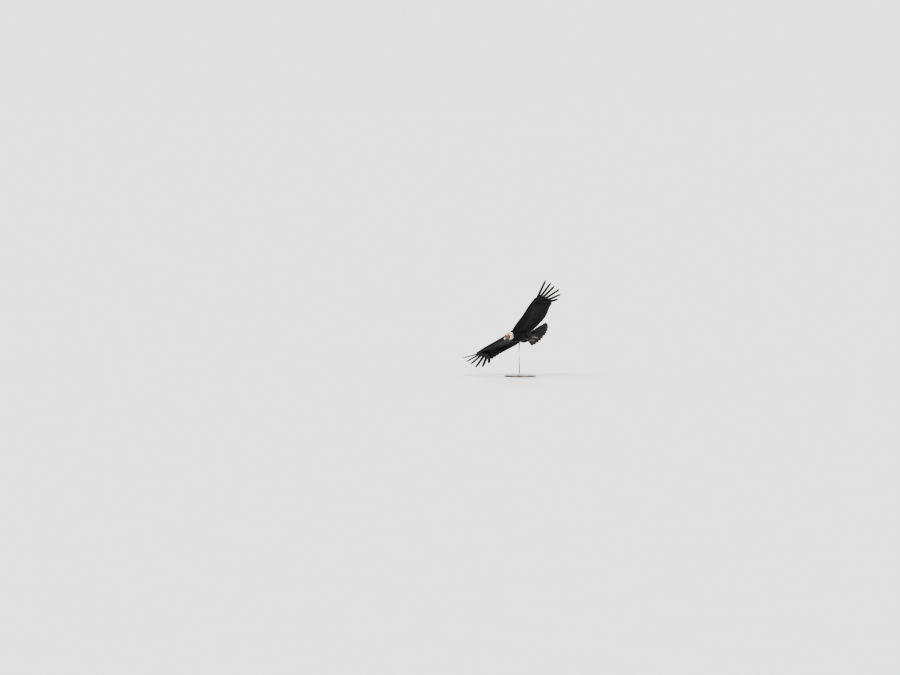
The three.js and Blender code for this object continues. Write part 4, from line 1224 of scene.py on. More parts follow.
# %% Closed forms and welding them into one skin
def loft(rings):
    """A closed body from rings (rows, sides, 3): points and faces."""
    rows, sides = rings.shape[:2]
    k, row = np.arange(sides), np.arange(rows - 1)[:, None] * sides
    quads = np.stack([row + k, row + (k + 1) % sides, row + sides + (k + 1) % sides, row + sides + k], -1)
    ends = [np.array([k[::-1]]), np.array([k + (rows - 1) * sides])]
    return rings.reshape(-1, 3), [quads.reshape(-1, 4), *ends]


def ring_of_rings(turns, sides):
    """The faces of a closed ring made of `turns` rings of `sides` points."""
    i, k = np.arange(turns)[:, None] * sides, np.arange(sides)
    onward, beside = (i + sides) % (turns * sides), (k + 1) % sides
    return np.stack([i + k, onward + k, onward + beside, i + beside], -1).reshape(-1, 4)


def ball(radii, at, sides=20):
    """An ellipsoid as a closed body."""
    turn = np.linspace(0.02, math.pi - 0.02, sides // 2)[:, None]
    angle = full_turn(sides)
    ring = np.stack([np.sin(turn) * np.sin(angle), 0 * angle - np.cos(turn),
                     np.sin(turn) * np.cos(angle)], -1)
    return loft(ring * np.array(radii, float) + np.array(at, float))


def welded(name, forms, voxel, smooth):
    """Forms in the bird's frame as one remeshed and smoothed mesh: points and quads in millimetres."""
    points, faces = join_parts(*forms)
    mesh = bpy.data.meshes.new(name + "_raw")
    mesh.from_pydata((points * MM).tolist(), [], [f.tolist() for listed in faces for f in listed])
    raw = into_scene(name + "_raw", mesh)
    remesh = raw.modifiers.new("weld", "REMESH")
    remesh.mode, remesh.voxel_size = "VOXEL", voxel * MM
    even = raw.modifiers.new("smooth", "SMOOTH")
    even.iterations, even.factor = smooth, 0.5
    shaped = bpy.data.meshes.new_from_object(raw.evaluated_get(bpy.context.evaluated_depsgraph_get()))
    out = np.empty(len(shaped.vertices) * 3, np.float32)
    shaped.vertices.foreach_get("co", out)
    corners = np.empty(len(shaped.loops), np.int32)
    shaped.loops.foreach_get("vertex_index", corners)
    normals = np.empty(len(shaped.vertices) * 3, np.float32)
    shaped.vertices.foreach_get("normal", normals)
    bpy.data.objects.remove(raw)
    bpy.data.meshes.remove(mesh)
    bpy.data.meshes.remove(shaped)
    return out.reshape(-1, 3).astype(float) / MM, corners.reshape(-1, 4), normals.reshape(-1, 3).astype(float)


def oval_rings(table, stations, sides, grow):
    """Rings of ovals across Y from a table of y, z, half width, half height."""
    y = np.linspace(table[0][0], table[-1][0], stations)[:, None]
    angle = full_turn(sides)
    wide, tall = along(table, y, 2) + grow, along(table, y, 3) + grow
    return np.stack([wide * np.sin(angle), y + 0 * angle, along(table, y, 1) + tall * np.cos(angle)], -1)


def wing_rings(stations=70, around=22, grow=-2.0):
    x = np.linspace(62, 1029, stations)[:, None]
    turn = np.linspace(0, math.pi, around)
    u = (1 - np.cos(turn)) / 2
    upper = flesh_point(x, u[None, :], 1, grow * (u > 0))
    lower = flesh_point(x, u[None, ::-1], -1, grow * (u[::-1] > 0))
    return np.concatenate([upper, lower[:, 1:-1]], 1)


body_forms = [loft(oval_rings(TORSO, 60, 48, -3))]
left_wing = wing_rings()
body_forms += [loft(left_wing), loft(mirrored(left_wing)[:, ::-1])]
thigh_turn = full_turn(24)
for side_sign in (1, -1):
    rings = thigh_point(side_sign, np.linspace(0, 1, 24)[:, None], side_sign * thigh_turn[None, :], -2)
    body_forms.append(loft(rings))
TAIL_ROOT = [(255, -8, 70, 24), (330, -6, 68, 18), (388, -6, 60, 8)]
body_forms.append(loft(oval_rings(TAIL_ROOT, 20, 32, -1) @ TWIST.T))
points, quads, _ = welded("body", body_forms, 5.5, 6)
skin = new_piece("body_skin", points, [quads], DARK_DOWN, "plumage", vane=points * [1, 1, 0.002])
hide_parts("torso", "wing_left_arm", "wing_left_hand", "wing_right_arm", "wing_right_hand",
            "leg_left", "leg_right", "tail")
print("triangles in the skin of the body:", triangles_of(skin))

# %% [markdown]
# ## Head
#
# An adult male has a bare, deeply folded head and neck of a dull reddish grey, a dark fleshy comb from
# the crown to over the nostrils, a wattle at the throat, thick lids round brown eyes, and a strong
# bill that is dark at its root and ivory at the hook. The forms are drawn in a frame of the head's
# own, with its nose along -Y. The folds are tubes and bulbs laid into the skull before the weld, and
# the creases are pushed into the surface after it, so they have real depth in side light.

# %% The head's frame, skull and neck
HEAD_AT = np.array([-6.0, -426.0, -62.0])
HEAD_TURN = np.array(
    Matrix.Rotation(math.radians(20), 3, "X") @ Matrix.Rotation(math.radians(20), 3, "Y")
    @ Matrix.Rotation(math.radians(6), 3, "Z")
)
SKULL = [
    (62, -13, 37, 39), (42, -9, 36, 39), (18, -3, 34.5, 36), (-6, -1, 31.5, 33), (-28, -5, 25, 27),
    (-46, -9, 18.5, 22),
]
EYE_RADIUS = 9.0
EYE_AT = np.array([23.0, -13.0, 8.0])
EYE_LOOKS = np.array([1, -0.28, 0.2]) / math.sqrt(1 + 0.28**2 + 0.2**2)
NECK_ROOT = np.array([0, -262.0, -22.0])
NECK_RADIUS = 40.0


def from_head(points):
    return points @ HEAD_TURN.T + HEAD_AT


def to_head(points):
    return (points - HEAD_AT) @ HEAD_TURN


def sided(place, side_sign):
    """A place or direction on the head's left, mirrored to its right where the sign is -1."""
    return place * np.array([side_sign, 1, 1])


def neck_axis():
    """The neck's centre line as a bend through four points, from inside the torso to the skull."""
    joint, behind = from_head(np.array([0, 62.0, -13.0])), from_head(np.array([0, 132.0, -9.0]))
    t = np.linspace(0, 1, 60)[:, None]
    stops = (NECK_ROOT, np.array([0, -310.0, -18.0]), behind, joint)
    parts = ((1 - t) ** 3, 3 * t * (1 - t) ** 2, 3 * t**2 * (1 - t), t**3)
    return sum(a * b for a, b in zip(parts, stops))


def neck_rings(sides=40):
    centre = neck_axis()
    angle = full_turn(sides)
    turned, start = Matrix(HEAD_TURN).to_quaternion(), Quaternion()
    rings = []
    for j, t in enumerate(np.linspace(0, 1, len(centre))):
        wide, tall = lerp(NECK_RADIUS + 3, 36, t), lerp(NECK_RADIUS + 1, 38, t)
        ring = np.stack([wide * np.sin(angle), 0 * angle, tall * np.cos(angle)], -1)
        rings.append(ring @ np.array(start.slerp(turned, t).to_matrix()).T + centre[j])
    return np.array(rings)[::-1]


def strand(stops, radii, sides=10):
    """A closed tube through stops in the head's frame, for folds of skin."""
    s = np.linspace(0, 1, 24)
    return tube_rings(np.stack(through(stops, s), -1)[None], through(radii, s)[0][None], sides)


def lid_ring(side_sign, radius, high, rise, thick, sides=10, turns=48):
    """A closed ring round the eye, lower than wide, at `rise` from the eye's centre."""
    looks = sided(EYE_LOOKS, side_sign)
    ahead = unit(np.array([0, -1.0, 0]) - looks * -looks[1])
    up = np.cross(looks, ahead) * (1 if np.cross(looks, ahead)[2] > 0 else -1)
    a, b = full_turn(turns), full_turn(sides)
    rim = ahead * np.cos(a)[:, None] + up * (high * np.sin(a))[:, None]
    out = unit(rim)
    centre = sided(EYE_AT, side_sign) + looks * rise + rim * radius
    points = centre[:, None] + thick * (
        out[:, None] * np.cos(b)[None, :, None] + looks * np.sin(b)[None, :, None]
    )
    quads = ring_of_rings(turns, sides)
    if np.dot(np.cross(ahead, up), looks) < 0:
        quads = quads[:, ::-1]
    return points.reshape(-1, 3), [quads]


print("nose of the head points to", np.round(POSE_ARRAY[:3, :3] @ HEAD_TURN @ np.array([0, -1, 0]), 2))

# %% Forms of the head before the weld
def head_forms():
    forms = [loft(oval_rings(SKULL[::-1], 60, 48, -0.6))]
    for x in (1, -1):
        forms += [
            lid_ring(x, 8.0, 0.86, 5.4, 2.7),
            ball((4.6, 15, 4.4), (x * 23.5, -12, 20)),
            ball((7, 17, 9), (x * 24.5, -2, -20)),
            ball((5.5, 12, 5), (x * 20.5, -28, -21)),
            strand([(x * 29, -2, 6), (x * 34, 10, 3), (x * 36.5, 26, 6), (x * 37, 48, 4), (x * 36, 70, -4)],
                   [2.2, 3.2, 3.4, 3.4, 2.5]),
            strand([(x * 29, 0, -6), (x * 33.5, 12, -12), (x * 35.5, 30, -16), (x * 35.5, 52, -20),
                    (x * 33, 74, -28)], [2.4, 3.6, 4.4, 4.2, 3]),
            strand([(x * 25, 6, -26), (x * 29, 22, -29), (x * 29, 42, -34), (x * 26, 62, -40),
                    (x * 22, 80, -46)], [3, 5, 5.6, 4.8, 3]),
            strand([(x * 20, 4, 26), (x * 22, 22, 29), (x * 22, 44, 27), (x * 21, 66, 22)], [2, 3, 3.2, 2.4]),
        ]
    forms += [ball((5.2, 24, 15), (0, 2, -39)), ball((4, 10, 9), (2, 22, -45)),
              ball((8, 16, 5), (0, -24, -26))]
    return [(from_head(p), f) for p, f in forms] + [loft(neck_rings())]


points, quads, normals = welded("head", head_forms(), 1.35, 3)
print("corners of the head's skin:", len(points))

# %% Creases, mouth line, ear and the openings for the eyes
def head_creases(local, world_points):
    """How far each point of the head's skin moves out, in millimetres."""
    x, y, z = local.T
    axis = neck_axis()
    behind = smoothstep(y, 6, 60)
    nearest = np.argmin(((world_points[:, None] - axis[None, ::3]) ** 2).sum(-1), axis=1)
    spots = np.array([noise.noise(Vector(p)) for p in (local * 0.045)])
    spots_b = np.array([noise.noise(Vector(p)) for p in (local * 0.16 + 31)])
    fine = np.array([noise.noise(Vector(p)) for p in (local * 0.42 + 77)])
    run = nearest * 3 / 59 * 190 + 5 * spots
    rings = np.abs(np.sin(math.pi * (run + 7 * spots_b) / 8.5)) ** 0.6 - 0.6
    face = np.abs(np.sin(math.pi * (z + 0.35 * y + 9 * spots + 3 * spots_b) / 6.5)) ** 0.6 - 0.6
    move = lerp(1.0 * face, 2.3 * rings, behind) + 0.75 * spots_b + 0.55 * fine
    mouth = np.exp(-(((z + 15 - 0.1 * (y + 16)) / 1.25) ** 2)) * smoothstep(-y, 13, 20) * (np.abs(x) > 9)
    ear = np.exp(-((((y - 25) / 4.5) ** 2 + ((z + 4) / 6.5) ** 2))) * (np.abs(x) > 20)
    return move - 2.6 * mouth - 5.5 * ear


local = to_head(points)
moves = head_creases(local, points)
for sign in (1, -1):
    away = np.linalg.norm(local - sided(EYE_AT, sign), axis=1)
    moves = moves * (1 - 0.85 * np.clip(1 - (away - 11) / 6, 0, 1))
points = points + normals * moves[:, None]
local = to_head(points)
for sign in (1, -1):
    looks = sided(EYE_LOOKS, sign)
    off = local - sided(EYE_AT, sign)
    rise = off @ looks
    flat = np.linalg.norm(off - rise[:, None] * looks, axis=1)
    open_to = 6.4
    depth = np.sqrt(np.maximum(EYE_RADIUS**2 - flat**2, 0)) - 2.2
    sunk = np.where((flat < open_to) & (rise > 0), np.minimum(rise, depth), rise)
    local = local + (sunk - rise)[:, None] * looks
points = from_head(local)
# The first value, how far the skin moved out, later paints shade into the creases; the other two say where
# the point lies on the head.
crease_value = np.stack([moves, local[:, 1], local[:, 2]], -1)


def make_bare_skin(name, deep, mid, light, neck_tint):
    """Dull reddish-grey skin, with painted shade in the creases, warmer on the neck."""
    material, tree = new_material(name, Subsurface_Weight=0.08, Subsurface_Scale=0.004,
                                  Specular_IOR_Level=0.45, Coat_Weight=0.06, Coat_Roughness=0.35)
    out, aft, _ = split(tree, attribute(tree, "crease"))
    patches, grain = mottled(tree, 45.0, 520.0)
    colour = mix_colour(tree, patches, mid, light)
    colour = mix_colour(tree, scaled(tree, ramp(tree, aft, 10.0, 0.016), 0.75), colour, neck_tint)
    # Painted shade: darker towards the first colour where the skin was pushed in, as in the creases, the
    # mouth line and the ear.
    colour = mix_colour(tree, ramp(tree, 0.3, out, 0.42), colour, deep)
    # The same dark colour also flecks the skin through its fine grain, which is the skin's own uneven tone.
    colour = mix_colour(tree, scaled(tree, grain, 0.35), colour, deep)
    return finish(material, colour, scaled(tree, grain, 0.28, 0.4), cells_of(tree, 620.0), 0.35, 0.0006)


# The first colour is both the painted shade of the creases and the dark of the skin's grain.
BARE_SKIN = make_bare_skin("bare_skin_folded", (0.022, 0.012, 0.012), (0.115, 0.06, 0.055),
                           (0.225, 0.12, 0.104), (0.29, 0.118, 0.085))
head_skin = new_piece("head_skin", points, [quads], BARE_SKIN, "bare_skin", crease=crease_value)
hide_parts("head", "neck")
margins = [lid_ring(sign, 6.5, 0.82, 6.1, 0.85, 8, 56) for sign in (1, -1)]
folds = [lid_ring(sign, 10.6, 0.84, 3.4, 0.9, 8, 56) for sign in (1, -1)]
lid_points, lid_faces = join_parts(*margins, *folds)
# The lids carry a fixed crease value of -0.6, so the painted crease shade darkens them evenly.
new_piece("lids", from_head(lid_points), lid_faces, BARE_SKIN, "bare_skin",
                 crease=np.tile([-0.6, -10.0, 8.0], (len(lid_points), 1)))
print("triangles in the head's skin:", triangles_of(head_skin))

# %% Eyes
def make_eye():
    """Brown iris with fine spokes round a black pupil, under a glossy cornea."""
    material, tree = new_material("brown_eye", Coat_Weight=1.0, Coat_Roughness=0.03, Coat_IOR=1.25,
                                  Specular_IOR_Level=0.1)
    out, around, _ = split(tree, attribute(tree, "iris"))
    spokes = noise_of(tree, 2.2, 4, joined(tree, scaled(tree, out, 1.6), scaled(tree, around, 5.0)))
    colour = mix_colour(tree, spokes, (0.032, 0.011, 0.005), (0.15, 0.058, 0.02))
    colour = mix_colour(tree, ramp(tree, out, 0.66, 9.0), colour, (0.012, 0.006, 0.004))
    colour = mix_colour(tree, ramp(tree, 0.34, out, 40.0), colour, (0.001, 0.001, 0.001))
    return finish(material, colour, scaled(tree, spokes, 0.1, 0.2), spokes, 0.1, 0.0002)


EYE = make_eye()
for sign, label in ((1, "left"), (-1, "right")):
    looks = sided(EYE_LOOKS, sign)
    aside = unit(np.cross(looks, [0, 0, 1.0]))
    upward = np.cross(aside, looks)
    turn = np.linspace(0.01, math.pi - 0.01, 48)[:, None]
    angle = full_turn(64)
    radius = EYE_RADIUS + 0.5 * np.exp(-((turn / 0.42) ** 2))
    ring = radius[..., None] * (
        looks * np.cos(turn)[..., None] + np.sin(turn)[..., None] * (
            aside * np.cos(angle)[None, :, None] + upward * np.sin(angle)[None, :, None])
    )
    eye_points, eye_faces = loft(ring + sided(EYE_AT, sign))
    iris = np.stack([turn + 0 * angle, 0 * turn + np.abs(angle - math.pi), 0 * turn + 0 * angle], -1)
    eye_piece = new_piece(f"eyeball_{label}", from_head(eye_points), eye_faces, EYE, "eye",
                          iris=iris.reshape(-1, 3))
    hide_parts(f"eye_{label}")
print("radius of an eye:", EYE_RADIUS, "mm")

# %% [markdown]
# ## Comb and bill
#
# The comb is a thick blade of flesh with a lobed crest and knobs. The bill is one horny sheath over
# each jaw; its edge is sharp, its hook turns down over the lower half, and the nostril goes right
# through, as a condor has no wall between the two. Lofting both through a few stops keeps their
# profile easy to change, and a boolean cuts the nostril the way it really is, as a hole.

# %% Comb
COMB = [(36, 3), (22, 11), (8, 19), (-8, 25), (-24, 28), (-40, 27), (-54, 21), (-64, 13), (-71, 4)]


def comb_points(rows=90, sides=40):
    y = np.linspace(36, -71, rows)[:, None]
    angle = full_turn(sides)
    tall = along(COMB, y, 1)
    on = np.maximum(y, -46)
    foot = np.where(y < -46, lerp(13, 12, (y + 46) / -25), along(SKULL, on, 1) + along(SKULL, on, 3)) - 4
    half = (4.6 + 2.4 * tall / 28) * (1 - 0.18 * np.cos(angle))
    lobes = 1.1 * np.sin(y / 3.9) + 0.8 * np.sin(y / 2.1 + 1)
    high = tall + 3 + lobes * (np.cos(angle) > 0) * np.maximum(np.cos(angle), 0)
    x = half * np.sqrt(np.clip((y + 71.4) / 9, 0.05, 1)) * np.sin(angle) + 1.2 * np.sin(y / 13)
    points = np.stack([x + 0 * y, y + 0 * x, foot + high * np.cos(angle)], -1)
    out = unit(np.stack([np.sin(angle) + 0 * y, 0 * x, np.cos(angle) * 0.6 + 0 * y], -1))
    flat = points.reshape(-1, 3)
    knobs = np.array([
        0.9 * noise.noise(Vector(p) * 0.17) + 0.5 * noise.noise(Vector(p) * 0.45)
        - 0.5 * abs(noise.noise(Vector((p[0], p[1] * 2.0, p[2] * 0.5)) * 0.2))
        for p in flat
    ]).reshape(points.shape[:2])
    ease = np.minimum(1, 6 * np.sin(np.linspace(0, math.pi, rows)))[:, None]
    return points + out * (knobs * 1.5 * ease)[..., None], knobs


rings, knobs = comb_points()
points, faces = loft(rings)
faces = flipped(faces)
# Its first colour is both the painted shade of the hollows and the dark of the comb's grain.
COMB_SKIN = make_bare_skin("comb_skin_dark", (0.012, 0.008, 0.009), (0.075, 0.05, 0.05), (0.16, 0.1, 0.095),
                           (0.2, 0.09, 0.075))
# The knob values serve as crease values, so painted shade darkens the hollows between the knobs.
crease = np.stack([knobs.ravel() * 1.2, points[:, 1], points[:, 2]], -1)
comb = new_piece("fleshy_comb", from_head(points), faces, COMB_SKIN, "comb_skin", crease=crease)
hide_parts("comb")
print("triangles in the comb:", triangles_of(comb))

# %% Bill
UPPER_BILL = [
    (-44, -3, 16.8, 15), (-58, -2, 14.8, 13.2), (-72, -2.5, 13, 12), (-84, -5, 12, 12.2),
    (-93, -11, 10, 10.4), (-98.2, -20, 6.4, 6.6), (-99.8, -30.5, 1.5, 1.3),
]
LOWER_BILL = [
    (-44, -22, 13.6, 8), (-58, -20.5, 12, 7), (-72, -20, 9.6, 5.6), (-84, -21, 7, 4.4),
    (-91.5, -22, 2.2, 1.6),
]


def bill_rings(table, rows, sides, flat_side, flat):
    """Rings that lean with the path of a bill: y, z, half width, half height at each stop."""
    t = np.linspace(0, 1, rows)[:, None]
    y, z, wide, high = through(table, t)
    lean = np.arctan2(-np.gradient(z[:, 0]), -np.gradient(y[:, 0]))[:, None] * smoothstep(t, 0, 0.12)
    angle = full_turn(sides)
    rise = high * np.cos(angle)
    rise = np.where(np.cos(angle) * flat_side > 0, rise * flat, rise)
    lines = 1 + 0.006 * np.sin(y * 2.4 + 2 * np.cos(angle))
    lines = lines - 0.03 * smoothstep(-y, 69, 72) + 0.03 * smoothstep(-y, 84, 95)
    x = wide * lines * np.sign(np.sin(angle)) * np.abs(np.sin(angle)) ** 0.9
    rise = rise * lines
    return np.stack([x, y + rise * np.sin(-lean), z + rise * np.cos(lean)], -1)


def cut_by(name, points, faces, tool_points, tool_faces):
    """Points and faces of a body after a tool is cut out of it."""
    made = []
    for part, p, listed in (("body", points, faces), ("tool", tool_points, tool_faces)):
        mesh = bpy.data.meshes.new(f"{name}_{part}")
        mesh.from_pydata(p.tolist(), [], [f.tolist() for group in listed for f in group])
        made.append(into_scene(f"{name}_{part}", mesh))
    boolean = made[0].modifiers.new("cut", "BOOLEAN")
    boolean.operation, boolean.object, boolean.solver = "DIFFERENCE", made[1], "EXACT"
    shaped = bpy.data.meshes.new_from_object(made[0].evaluated_get(bpy.context.evaluated_depsgraph_get()))
    out = np.array([v.co[:] for v in shaped.vertices])
    polygons = [list(p.vertices) for p in shaped.polygons]
    for o in made:
        bpy.data.objects.remove(o)
    by_size = {}
    for p in polygons:
        by_size.setdefault(len(p), []).append(p)
    return out, [np.array(v) for v in by_size.values()]


def make_horn():
    """Dark horn at the root, ivory over the hook, with fine growth lines."""
    material, tree = new_material("bill_horn", Coat_Weight=0.2, Coat_Roughness=0.25,
                                  Subsurface_Weight=0.05, Subsurface_Scale=0.002)
    place = attribute(tree, "bill")
    patches, grain = mottled(tree, 0.12, 0.9, stretched(tree, place, (1.6, 0.35, 1.6)))
    ivory = mix_colour(tree, patches, (0.52, 0.44, 0.31), (0.78, 0.71, 0.57))
    dark = mix_colour(tree, grain, (0.02, 0.016, 0.014), (0.085, 0.065, 0.05))
    edge = scaled(tree, patches, 16.0, split(tree, place)[1])
    colour = mix_colour(tree, ramp(tree, -58.0, edge, 0.12), dark, ivory)
    colour = mix_colour(tree, scaled(tree, grain, 0.22), colour, (0.2, 0.15, 0.1))
    return finish(material, colour, scaled(tree, grain, 0.25, 0.22), grain, 0.2, 0.0004)


HORN = make_horn()
upper_points, upper_faces = loft(bill_rings(UPPER_BILL, 72, 44, -1, 0.86))
nostril_points, nostril_faces = ball((30, 5.2, 2.6), (0, -58, 1.2), 28)
upper_points, upper_faces = cut_by(
    "upper_bill", upper_points, flipped(upper_faces), nostril_points, flipped(nostril_faces))
upper_bill = new_piece("upper_bill", from_head(upper_points), upper_faces, HORN, "horn", bill=upper_points)
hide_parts("bill_upper")
lower_points, lower_faces = loft(bill_rings(LOWER_BILL, 50, 36, 1, 0.8))
lower_bill = new_piece("lower_bill", from_head(lower_points), flipped(lower_faces), HORN, "horn",
                       bill=lower_points)
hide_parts("bill_lower")
print("triangles in the upper bill:", triangles_of(upper_bill))

# %% [markdown]
# ## Ruff
#
# At the root of the bare neck sits a thick collar of white down. Its locks are short, soft and curl
# back over one another. A smooth ring under some two thousand small locks gives the same soft edge.

# %% White collar of down
RUFF_AT = np.array([-7.0, -315.0, -26.0])
RUFF_AHEAD = Vector((-0.08, -0.97, -0.17)).normalized()
RUFF_TURN = np.array(Vector((0, -1, 0)).rotation_difference(RUFF_AHEAD).to_matrix())
RUFF_RADIUS, RUFF_TUBE = 54.0, 17.0


def ruff_place(around, tube, lift=0.0):
    """A point of the collar's ring: `around` the neck, `tube` 0 outwards and growing forwards."""
    out = np.stack([np.sin(around), 0 * around, np.cos(around)], -1)
    way = out * np.cos(tube)[..., None] + np.array([0, -1.0, 0]) * np.sin(tube)[..., None]
    return out * RUFF_RADIUS + way * (RUFF_TUBE + lift + 0 * tube)[..., None], way, out


def ruff_locks(count, seed, low, high, rows=6):
    """Fine curled locks on the part of the ring between two turns of its tube, in degrees."""
    draw = seeded(seed)
    around = 2 * math.pi * (np.arange(count) * 0.6180339887 % 1)
    tube = np.radians(lerp(low, high, (np.arange(count) + 0.5) / count)) + draw.uniform(-0.12, 0.12, count)
    root, normal, out = ruff_place(around, tube, draw.uniform(-3.0, -1.0, count))
    tangent = np.stack([np.cos(around), 0 * around, -np.sin(around)], -1)
    backwards = out * -np.sin(tube)[:, None] + np.array([0, 1.0, 0]) * np.cos(tube)[:, None]
    front = smoothstep(np.sin(tube), 0.2, 1)[:, None]
    clump = np.array([
        (noise.noise(Vector(p) * 0.075), noise.noise(Vector(p) * 0.075 + Vector((50, 0, 0)))) for p in root
    ])
    lay = unit(lerp(0.8, 1.15, front) * normal + lerp(0.6, 0.2, front) * backwards
               + (1.1 * clump[:, :1] + draw.uniform(-0.45, 0.45, (count, 1))) * tangent)
    reach = (0.9 + 0.9 * clump[:, 1]) * lerp(1, 0.62, front[:, 0]) * (0.8 + 0.38 * (np.cos(tube) > 0))
    length = draw.uniform(10, 20, count) * reach
    s = np.linspace(0, 1, rows)[None, :, None]
    curl = draw.uniform(-10, 10, (count, 1, 1)) * tangent[:, None] + (
        length[:, None, None] * draw.uniform(0.2, 0.6, (count, 1, 1)) * backwards[:, None]
    )
    centre = root[:, None] + lay[:, None] * (length[:, None, None] * s) + curl * s**2
    swing = draw.uniform(0.5, 1.3, (count, 1, 1))
    wave = swing * np.sin(2.4 * math.pi * s + draw.uniform(0, 6, (count, 1, 1)))
    centre = centre + wave * tangent[:, None] * s
    half = draw.uniform(1.2, 2.3, (count, 1)) * (1 - 0.9 * s[0, :, 0] ** 1.4)
    half = np.stack([half, half], -1)
    side = unit(tangent + draw.uniform(-0.6, 0.6, (count, 3)))
    across, over = around / (2 * math.pi), (np.degrees(tube) + 90) / 290
    root_uv = np.stack([0.04 + 0.92 * across, 0.04 + 0.92 * over], -1)
    side, normal = (
        np.broadcast_to((way @ RUFF_TURN.T)[:, None], centre.shape) for way in (side, normal)
    )
    return centre @ RUFF_TURN.T + RUFF_AT, side, half, normal, root_uv


rings_round, ring_sides = 72, 28
ring_around, ring_tube = np.meshgrid(
    *(np.linspace(0, 2 * math.pi, count + 1)[:-1] for count in (rings_round, ring_sides)), indexing="ij")
core = (ruff_place(ring_around, ring_tube)[0] @ RUFF_TURN.T + RUFF_AT).reshape(-1, 3)
new_piece("ruff_core", core, flipped([ring_of_rings(rings_round, ring_sides)]), WHITE_DOWN, "ruff_down",
          vane=core)
for label, low, high in (("back", -80, 35), ("front", 35, 195)):
    ruff = feather_piece(f"ruff_locks_{label}", *ruff_locks(4400, 17, low, high), material=WHITE_DOWN,
                         slot="ruff_down", cup=0.5, thickness=0.8, seed=18)
    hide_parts("ruff")
print("triangles in half of the ruff's locks:", triangles_of(ruff))

# %% [markdown]
# ## Feet
#
# In flight the feet are laid back under the tail with loosely closed toes. The shanks and toes are
# covered in hard scutes in front and fine round scales elsewhere, grey, with blunt dark claws.

# %% Shanks, toes and claws
def make_leg_skin():
    """Grey scaly skin."""
    material, tree = new_material("grey_scales", Coat_Weight=0.08, Coat_Roughness=0.4)
    cells = cells_of(tree, 330.0)
    patches, grain = mottled(tree, 40.0, 400.0)
    colour = mix_colour(tree, patches, (0.08, 0.076, 0.072), (0.24, 0.225, 0.205))
    colour = mix_colour(tree, ramp(tree, cells, 0.35, 1.8), colour, (0.035, 0.032, 0.03))
    height = math_node(tree, "SUBTRACT", 1.0, cells)
    return finish(material, colour, scaled(tree, grain, 0.25, 0.42), height, 0.5, 0.0008)


LEG_SKIN = make_leg_skin()
CLAW = make_plain("dark_claw", 70.0, 600.0, ((0.014, 0.012, 0.012), (0.07, 0.06, 0.05)), 0.25, 0.2,
                  (0.15, 0.0004), Coat_Weight=0.2, Coat_Roughness=0.25)
TOE_ROOT = np.array([52.0, 330.0, -92.0])
TOES = [(-22, 66), (0, 94), (21, 70)]


def scaled_limb(stops, radii, rows, scute, depth, sides=22):
    """A closed limb whose rings swell into scutes of one length in millimetres."""
    s = np.linspace(0, 1, rows)
    path, radius = np.stack(through(stops, s), -1), through(radii, s)[0]
    run = np.concatenate([[0], np.linalg.norm(np.diff(path, axis=0), axis=1).cumsum()])
    radius = radius + depth * (np.abs(np.sin(math.pi * run / scute)) ** 0.5 - 0.7)
    radius = radius * np.clip(np.sin(math.pi * np.clip(s, 0.012, 0.985)) * 7, 0.25, 1) ** 0.5
    return tube_rings(path[None], radius[None], sides)


for sign, label in ((1, "left"), (-1, "right")):
    shank = [(60, 206, -116), (57, 250, -112), (54, 292, -102), TOE_ROOT]
    limbs = [scaled_limb(shank, [13.5, 10.5, 10, 12.5], 150, 6.5, 0.9)]
    claws = []
    for spread, length in TOES:
        stops = []
        for t in (0, 0.25, 0.5, 0.75, 0.94):
            sag = 16 * math.sin(math.pi * min(1, t * 0.9))
            stops.append(TOE_ROOT + np.array([spread * t, -4 + length * t, -sag - 10 * t]))
        limbs.append(scaled_limb(stops, [10, 9.4, 8.2, 8.6, 5.8], 110, 5.0, 0.8))
        root = TOE_ROOT + np.array([spread * 0.9, -4 + length * 0.86, -24])
        claws.append(scaled_limb([root, root + [0, 12, -5], root + [0, 20, -12], root + [0, 24, -17]],
                                 [5.6, 4.6, 2.9, 0.9], 26, 40, 0, 16))
    limbs.append(scaled_limb([(50, 316, -98), (47, 316, -110), (45, 321, -120)], [7, 6, 4.6], 40, 5.0, 0.6))
    spur = [(45, 319, -117), (44, 325, -126), (43, 332, -129)]
    claws.append(scaled_limb(spur, [4.4, 3, 0.9], 20, 40, 0, 14))
    for name, parts, material in (("foot", limbs, LEG_SKIN), ("claws", claws, CLAW)):
        part_points, part_faces = join_parts(*parts)
        if sign < 0:
            part_points, part_faces = mirrored(part_points), flipped(part_faces)
        piece = new_piece(f"{name}_scaly_{label}", part_points, part_faces, material, "leg_scales")
    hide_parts(f"foot_{label}")
print("toes a foot:", len(TOES) + 1)

# %% [markdown]
# ## Stand and floor
#
# The bird is held by a steel rod from a turned base of dark wood, with a steel collar where the rod
# enters the wood. The base is turned on a lathe and stained, so its edge is rounded and its grain
# runs right across. The floor is one pale plain surface that meets an evenly lit background.

# %% Turned shapes of the stand
def turned(name, profile, material, slot, sides, node_name):
    """A body turned about the Z axis from (radius, height) stops in millimetres, bottom first."""
    radius, height = np.array(profile, float).T[:, :, None]
    angle = full_turn(sides)
    rings = np.stack([radius * np.cos(angle), radius * np.sin(angle), height + 0 * angle], -1)
    piece = new_piece(name, *loft(rings), material, slot, posed=False)
    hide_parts(node_name)
    return piece


def rounded_edge(radius, low, high, bevel, stops=6):
    """Profile of a disc whose two rims are rounded."""
    turn = np.linspace(0, math.pi / 2, stops)
    lower = [(radius - bevel + bevel * math.sin(t), low + bevel - bevel * math.cos(t)) for t in turn]
    upper = [(radius - bevel + bevel * math.cos(t), high - bevel + bevel * math.sin(t)) for t in turn]
    return lower + upper


